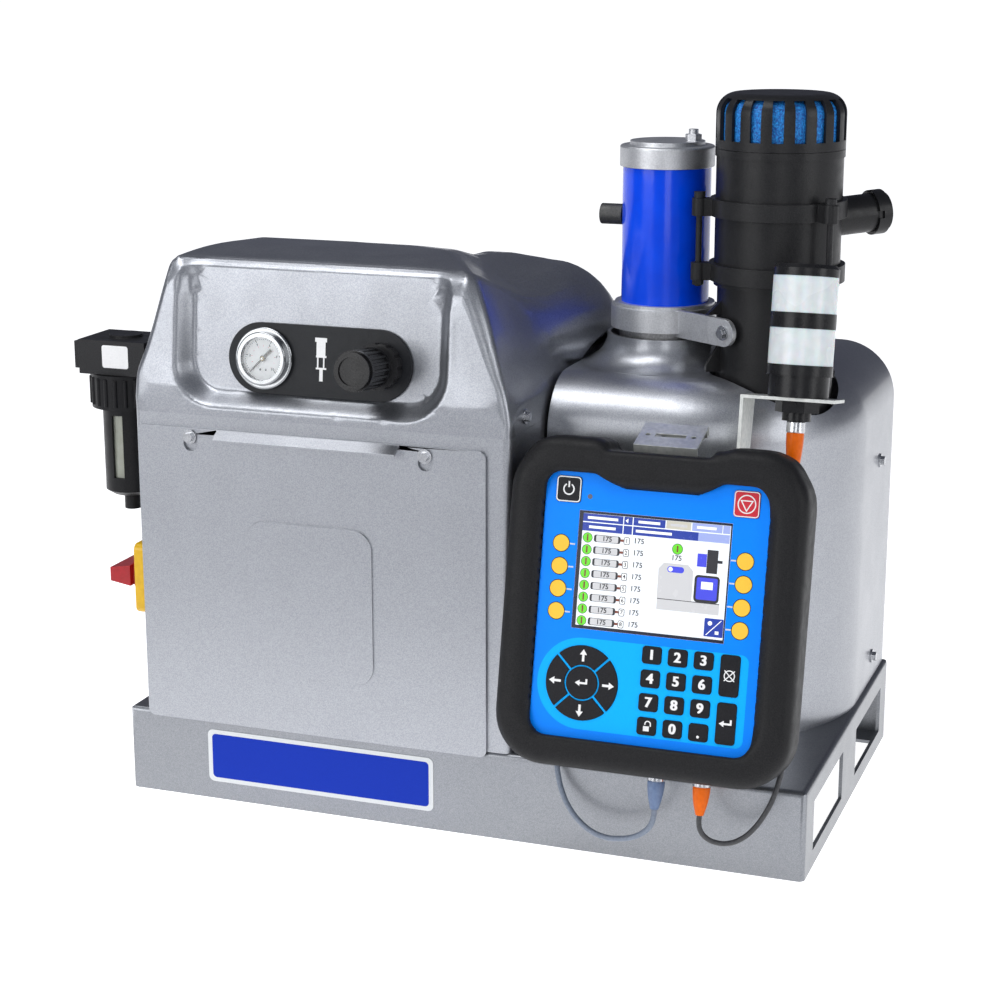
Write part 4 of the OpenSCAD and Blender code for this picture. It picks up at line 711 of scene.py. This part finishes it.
bm = joined_copy("display_overlay")
bmesh.ops.delete(bm, geom=[f for f in bm.faces if not on_face(f)], context="FACES")
for k, corner in enumerate(field_outline):
    a, b = Vector((*field_outline[k - 1], 0)), Vector((*corner, 0))
    away = (face.to_3x3() @ (b - a).cross(Vector((0, 0, 1)))).normalized()
    bmesh.ops.bisect_plane(bm, geom=bm.verts[:] + bm.edges[:] + bm.faces[:], dist=1e-7,
                           plane_co=face @ b, plane_no=away, clear_outer=True)
bmesh.ops.translate(bm, vec=outward * 0.00006, verts=bm.verts)
key_field = place(bm, "key_field", "field_blue", "frame", slot="face_blue")
print("key field", len(key_field.data.polygons), "faces")

# %% Print the soft keys and the lamp
soft_keys = [(-72.5, v) for v in (46, 28.5, 11.3, -6)] + [(71.3, v) for v in (45, 27.8, 10.4, -6.7)]
yellow, outline, lines = bmesh.new(), bmesh.new(), bmesh.new()
for u, v in soft_keys:
    stamp(yellow, circle(6.3, (u, v)), face, 0.12)
    band(outline, circle(6.9, (u, v)), circle(6.3, (u, v)), face, 0.10)
    inward = -1 if u > 0 else 1
    stroke(lines, (u + inward * 6.9, v), (u + inward * 11, v), 1.1, face, 0.10)
place(yellow, "soft_keys", "ink_yellow", "frame", slot="face_blue")
place(outline, "soft_key_rims", "ink_black", "frame", slot="face_blue")
place(lines, "soft_key_lines", "ink_silver", "frame", slot="face_blue")
lamp = bmesh.new()
stamp(lamp, circle(1.9, (-52.3, 83.1)), face, 0.12)
place(lamp, "status_lamp", "ink_grey", "frame", slot="face_blue")
print(len(soft_keys), "soft keys")

# %% [markdown]
# ### Legends of the keys
#
# Each legend rides the body of its key, so that it goes down with the key when it is pressed.

# %% Draw the legends
key_top = 0.96


def arrow(bm, at, turn, length=9.4, head=4.2, shaft=1.9):
    flat = Matrix.Rotation(math.radians(turn), 2)
    tip, neck, wing, edge = length / 2, length / 2 - head, head * 0.68, shaft / 2
    shape = [(-tip, -edge), (neck, -edge), (neck, -wing), (tip, 0), (neck, wing), (neck, edge), (-tip, edge)]
    stamp(bm, [flat @ Vector(p) + Vector(at) for p in shape], face, key_top)


def return_arrow(bm, at):
    u, v = at
    box(bm, u - 1.5, v - 0.75, u + 4.6, v + 0.75, face, key_top)
    box(bm, u + 3.1, v + 0.75, u + 4.6, v + 3.4, face, key_top)
    stamp(bm, [(u - 5.2, v), (u - 1.5, v - 2.4), (u - 1.5, v + 2.4)], face, key_top)


def legend(key, draw):
    bm = bmesh.new()
    draw(bm)
    place(bm, key + "_legend", "ink_white", home[key], slot=slot_of[key])


def bold_digit(bm, text, at):
    for step in (-0.35, 0, 0.35):
        digits(bm, text, 10.5, (at[0] + step, at[1]), face, key_top - 0.05 + 0.02 * step, 0.2)


number_rows = (("1", "2", "3"), ("4", "5", "6"), ("7", "8", "9"), ("lock", "0", "dot"))
spot_of = {n: (5.5 + 20.1 * col, -32 - 18 * row) for row, names in enumerate(number_rows)
           for col, n in enumerate(names)}
for n, spot in spot_of.items():
    if n.isdigit():
        legend("key_" + n, lambda bm: bold_digit(bm, n, spot))

pad = Vector((-47.9, -59))
tall_keys = 66.2
for n, turn in (("right", 0), ("up", 90), ("left", 180), ("down", 270)):
    reach = Vector((math.cos(math.radians(turn)), math.sin(math.radians(turn)))) * 21.2
    legend("key_" + n, lambda bm: arrow(bm, pad + reach, turn))
legend("key_ok", lambda bm: return_arrow(bm, pad))
legend("key_enter", lambda bm: return_arrow(bm, (tall_keys, -77)))


def draw_dot(bm):
    u, v = spot_of["dot"]
    stamp(bm, circle(1.1, (u, v - 3.2)), face, key_top)


def draw_cancel(bm):
    middle = Vector((tall_keys, -41))
    band(bm, circle(4.3, middle), circle(3.5, middle), face, key_top)
    for turn in (45, 135):
        arm = Vector((math.cos(math.radians(turn)), math.sin(math.radians(turn)))) * 5.6
        stroke(bm, middle - arm, middle + arm, 0.8, face, key_top + 0.02)


def draw_lock(bm):
    u, v = spot_of["lock"]
    box(bm, u - 2.4, v - 3.6, u + 2.2, v + 0.2, face, key_top)
    bow = circle(2.6, (u + 1.0, v + 1.9), 14, 0, 200) + circle(1.7, (u + 1.0, v + 1.9), 14, 0, 200)[::-1]
    stamp(bm, bow, face, key_top)
    box(bm, u + 2.7, v + 0.2, u + 3.6, v + 1.9, face, key_top)


def draw_power(bm):
    middle = (-69.3, 87.5)
    ring = circle(4.6, middle, 30, 118, 422) + circle(3.5, middle, 30, 118, 422)[::-1]
    stamp(bm, ring, face, key_top)
    box(bm, middle[0] - 0.65, middle[1] + 1.4, middle[0] + 0.65, middle[1] + 6, face, key_top)
    band(bm, rounded_box(19.3, 19.3, 2.8, middle), rounded_box(17.6, 17.6, 2.2, middle), face, key_top)


def draw_stop(bm):
    middle = Vector((69.3, 87.5))
    band(bm, circle(7.1, middle), circle(6.2, middle), face, key_top)
    band(bm, circle(5.9, middle, 3, -90, 270), circle(4.2, middle, 3, -90, 270), face, key_top)
    band(bm, rounded_box(19.3, 19.3, 2.8, middle), rounded_box(17.9, 17.9, 2.2, middle), face, key_top)


for key, draw in (("key_dot", draw_dot), ("key_cancel", draw_cancel), ("key_lock", draw_lock),
                  ("key_power", draw_power), ("key_stop", draw_stop)):
    legend(key, draw)
print("legends on", len([k for k in home if k.startswith("key_")]), "keys")

# %% [markdown]
# ### The screen
#
# The screen shows a plain page: two dark bars with a row of tabs, eight lines with a green dot, a bar and a
# number, and a small drawing of the unit. All of it is lit from behind.

# %% Write the helpers for the page
glass = -0.52
page = {
    "page_navy": (0.020, 0.045, 0.30), "page_tab": (0.50, 0.48, 0.40), "page_green": (0.13, 0.62, 0.03),
    "page_grey": (0.52, 0.52, 0.53), "page_dark": (0.03, 0.03, 0.035), "page_brown": (0.18, 0.05, 0.03),
    # page_edge is a painted shadow round the page, not a colour of the screen.
    "page_blue": (0.06, 0.07, 0.62), "page_pale": (0.30, 0.36, 0.66), "page_edge": (0.012, 0.014, 0.028),
    "page_white": (0.86, 0.88, 0.88),
}
for name, colour in page.items():
    finishes[name] = lit_print(name, colour, 0.25)
layer = {name: bmesh.new() for name in page}


def patch(ink, points, above=0.0):
    stamp(layer[ink], points, face, glass + above)


def bar(ink, left, low, right, high, above=0.0):
    box(layer[ink], left, low, right, high, face, glass + above)


def figures(text, size, at, above=0.0, heavy=0.06):
    digits(layer["page_dark"], text, size, at, face, glass + above, heavy)


def green_dot(at, radius):
    patch("page_green", circle(radius, at, 28))
    band(layer["page_dark"], circle(radius + 0.2, at, 28), circle(radius - 0.2, at, 28), face, glass + 0.03)


print("page has", len(page), "colours")

# %% Draw the painted shadow round the page, the bars and the tabs
# A dark band round the page, wider on the left and at the bottom, is painted shadow of the window's edge.
band(layer["page_edge"], [(-59.6, -17.6), (59.6, -17.6), (59.6, 72.2), (-59.6, 72.2)],
     [(-56.6, -15.2), (58.5, -15.2), (58.5, 70.4), (-56.6, 70.4)], face, glass + 0.04)
for left, right, ink in ((-57, -25, "page_navy"), (-24.2, -17.6, "page_navy"), (-16.8, 8, "page_navy"),
                         (8.8, 28, "page_tab"), (28.8, 52, "page_pale"), (52.6, 58, "page_pale")):
    bar(ink, left, 64.2, right, 70.2)
for left, right, ink in ((-57, -25, "page_navy"), (-24.2, -17.6, "page_navy"), (-16.8, 34, "page_navy"),
                         (34, 58, "page_pale")):
    bar(ink, left, 57, right, 63.4)
for u, v, width in ((-41, 67.2, 24), (-4.5, 67.2, 17), (40, 67.2, 15), (-41, 60.2, 21), (-0.5, 60.2, 28)):
    bar("page_white", u - width / 2, v - 1.0, u + width / 2, v + 1.0, 0.05)
bar("page_grey", 12, 66.2, 25, 68.2, 0.05)
patch("page_white", [(-23.2, 67.2), (-21, 65.4), (-21, 69)], 0.05)
print("bars drawn")

# %% Draw the eight lines
for row in range(8):
    v = 51.9 - 9.05 * row
    green_dot((-52, v), 3.7)
    bar("page_brown", -52.6, v - 2.4, -51.4, v + 2.6, 0.05)
    patch("page_dark", rounded_box(21, 5.6, 1.6, (-36.5, v)))
    patch("page_grey", rounded_box(17.4, 4.9, 1.0, (-36.5, v)), 0.04)
    figures("175", 5.2, (-36.5, v), 0.06, 0.1)
    bar("page_brown", -26, v - 0.9, -23.4, v + 0.9)
    patch("page_dark", rounded_box(4.6, 5.8, 1.2, (-21, v)))
    patch("page_white", rounded_box(3.6, 4.8, 0.8, (-21, v)), 0.04)
    figures(str(row + 1), 4.4, (-21, v), 0.06)
    figures("175", 5.6, (-11.5, v + 0.6))
print("lines drawn")

# %% Draw the small picture of the unit
green_dot((18.8, 49.5), 4.0)
bar("page_brown", 18.2, 47.2, 19.4, 52, 0.05)
figures("175", 5.6, (18.6, 42.6))
patch("page_grey", [(5.5, 11), (32.4, 11), (32.2, 34), (28, 38.4), (9.2, 38.4), (5.3, 34)])
bar("page_grey", 5.8, 3, 54, 11.6, -0.02)
bar("page_dark", 5.8, 10.9, 54, 11.4, 0.03)
patch("page_blue", rounded_box(13, 4.6, 2.25, (18.6, 34)), 0.04)
patch("page_white", circle(1.7, (14.6, 34), 20), 0.06)
bar("page_blue", 34.6, 38, 41.8, 47.8)
bar("page_dark", 42, 33.6, 50.4, 51.2)
bar("page_dark", 50.4, 41.6, 54, 43.8)
patch("page_dark", rounded_box(19.4, 20.4, 3, (43.4, 21.6)), 0.03)
patch("page_blue", rounded_box(16, 16.6, 1.4, (43.5, 21.8)), 0.05)
bar("page_white", 39, 21.4, 48, 27, 0.07)
patch("page_navy", rounded_box(14.6, 13.8, 0.8, (51, -6.6)))
stroke(layer["page_white"], (45.4, -12.4), (56.6, -0.8), 0.6, face, glass + 0.04)
patch("page_white", circle(1.7, (48, -3.4), 20), 0.05)
bar("page_white", 52.2, -11.4, 55, -9, 0.05)
for name, bm in layer.items():
    place(bm, name + "_print", name, "frame", slot="screen")
print("page drawn in", len(layer), "colours")

# %% [markdown]
# ### Gauge, control plate, sticker and badge
#
# The gauge has a white dial with a black and a red scale, and a thicker tail on its needle. The control
# plate carries the outline of a pump in white. The filter's head has a bare white sticker, and the plate on
# the pan is a bare blue field in a light border.

# %% Print the dial, the pump sign and the badge
dial_middle = Vector((-47, 0))
dial, ticks, red_ticks = bmesh.new(), bmesh.new(), bmesh.new()
stamp(dial, circle(17.2, dial_middle, 60), control, 6.12)
for k in range(41):
    turn = math.radians(225 - 270 * k / 40)
    ray = Vector((math.cos(turn), math.sin(turn)))
    inner, width = (13.6, 0.7) if k % 8 == 0 else (14.8, 0.4)
    stroke(ticks, dial_middle + ray * inner, dial_middle + ray * 15.8, width, control, 6.22)
    if k % 4 == 0:
        stroke(red_ticks, dial_middle + ray * 9.4, dial_middle + ray * 10.8, 0.3, control, 6.22)
    if k % 8 == 0:
        digits(ticks, str(k // 4), 3.0, dial_middle + ray * 11.9, control, 6.2, 0.06)
for side in (-1, 1):
    stamp(ticks, circle(0.9, dial_middle + Vector((2.4 * side, -9)), 16), control, 6.2)
place(dial, "gauge_dial", "dial_white", "frame", slot="gauge_chrome")
place(ticks, "gauge_scale", "ink_black", "frame", slot="gauge_chrome")
place(red_ticks, "gauge_red_scale", "ink_red", "frame", slot="gauge_chrome")

tail, hub = bmesh.new(), bmesh.new()
along = Vector((math.cos(math.radians(45)), math.sin(math.radians(45))))
stroke(tail, dial_middle + along * 1.5, dial_middle + along * 10.5, 2.1, control, 7.9)
stamp(hub, circle(1.9, dial_middle, 24), control, 8.2, 0.35)
place(tail, "needle_tail", "needle_black", "needle", slot="needle_black")
place(hub, "needle_hub", "hub_gold", "needle", slot="needle_black")

sign = bmesh.new()
for left, low, right, high in ((-3.6, 15.8, 6.6, 19.1), (-2.3, 5, 5.4, 15.8), (-2.6, 3.4, 6.4, 5),
                               (-1.6, -4.6, -0.4, 3.4), (3.6, -4.6, 4.8, 3.4), (-2.6, -6, 6.4, -4.6),
                               (0.6, -15.4, 3.5, -6)):
    box(sign, left, low, right, high, control, 3.1)
place(sign, "pump_sign", "ink_white", "frame", slot="control_plate")

sticker = bmesh.new()
stamp(sticker, rounded_box(24.4, 19, 2), sheet_at((-0.3105, -0.135, 0.3638), 0), 0.15)
place(sticker, "filter_sticker", "ink_white", "frame", slot="filter_black")

badge_middle = (-115.5, 38.4)
field, rim = bmesh.new(), bmesh.new()
stamp(rim, rounded_box(202.3, 45.8, 5, badge_middle), pan_front, 0.5, 0.5)
stamp(field, rounded_box(194.5, 38.4, 3.5, badge_middle), pan_front, 0.6, 0.3)
place(rim, "badge_rim", "ink_silver", "frame", slot="silver_paint")
place(field, "badge_field", "badge_blue", "frame", slot="silver_paint")
print("dial, sign and badge are printed")

# %% [markdown]
# ## Plugs and gland
#
# Each plug is turned: a nickel coupling ring, a waisted grip and a tapered bend relief. One profile serves
# all three, in orange for the light's cord and blue-grey for the data cord. The gland is turned as well.

# %% Turn the plugs and the gland
def turned(bm, profile, stand, steps=36):
    verts = [bm.verts.new(stand @ Vector((r / 1000, 0, z / 1000))) for r, z in profile]
    edges = [bm.edges.new(pair) for pair in zip(verts, verts[1:])]
    bmesh.ops.spin(bm, geom=verts + edges, cent=stand.translation, axis=stand.col[2].xyz, dvec=(0, 0, 0),
                   angle=2 * math.pi, steps=steps, use_merge=True, use_normal_flip=False, use_duplicate=False)
    bmesh.ops.recalc_face_normals(bm, faces=bm.faces)


display_stand = Matrix.Translation(display_middle) @ Matrix.Rotation(math.radians(90) - display_lean, 4, "X")
light_stand = Matrix.Translation((0.2575, -0.1, 0.363)) @ Matrix.Rotation(math.radians(-10), 4, "X")
downward = Matrix.Rotation(math.radians(90), 4, "X")


def under_display(across):
    return display_stand @ Matrix.Translation((across, -0.124, -0.02)) @ downward


plugs = {
    "light_cord_plug": (under_display(0.0468), "plug_orange", 27.5),
    "data_cord_plug": (under_display(0.0112), "plug_blue", 27.5),
    "signal_plug": (light_stand @ Matrix.Translation((0, 0, -0.018)) @ Matrix.Rotation(math.pi, 4, "X"),
                    "plug_orange", 45),
}
rings = bmesh.new()
for name, (stand, finish, long) in plugs.items():
    collar = 0.2 * long
    turned(rings, [(0, 0.2), (6.4, 0.2), (7.1, 0.9), (7.1, collar - 0.6), (6.5, collar), (0, collar)], stand)
    grip = bmesh.new()
    waist = [(6.6, 0.38 * long), (6.2, 0.5 * long), (5.8, 0.6 * long), (5.3, 0.7 * long)]
    relief = [(3.6, long - 2), (3.2, long - 0.4), (2.6, long), (0, long)]
    turned(grip, [(0, collar), (6.4, collar), (6.8, collar + 1)] + waist + relief, stand)
    place(grip, name, finish, "frame", slot="plug_orange")
place(rings, "plug_rings", "gland_metal", "frame", ["cord_plugs"], slot="plug_orange")
gland_stand = Matrix.Translation((0.051, -0.15, 0.15)) @ Matrix.Rotation(math.radians(90), 4, "Y")
gland = bmesh.new()
nut = [(0, 0), (8.6, 0), (8.9, 0.6), (8.9, 6.4)]
cone = [(7.6, 7), (7.4, 11.8), (6.8, 12.6), (3.6, 18), (0, 18)]
turned(gland, nut + cone, gland_stand)
place(gland, "cord_gland", "black_hardware", "frame", slot="plug_orange")
print(len(plugs), "plugs and a gland")

# %% [markdown]
# ## Foam
#
# The ring in the filter cage is open foam. Its smooth solid is cut finer, and each point is pushed in by a
# noise, which leaves the rough, grainy surface of the real thing behind the slots.

# %% Roughen the foam
bm = joined_copy("filter_foam")
cut_finer(bm, lambda spot: True, 0.0022, 7)
bm.normal_update()
least_pit, pit_depth, pits_per_metre = 0.0004, 0.0011, 420
for v in bm.verts:
    v.co -= v.normal * (least_pit + pit_depth * abs(noise.noise(v.co * pits_per_metre)))
foam = place(bm, "foam_ring", "foam_blue", "cage", ["filter_foam"], smooth=180)
print("foam", len(foam.data.polygons), "faces")

# %% [markdown]
# ## Finish the cords
#
# The cords take their finishes, ride the frame and stand in for their nodes, which are hidden.

# %% Finish the cords
for piece, node in ((light_lead, "light_cord"), (data_lead, "data_cord")):
    piece.data.materials.append(finishes[slot_of[node]])
    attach(piece, "frame")
    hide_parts(node)
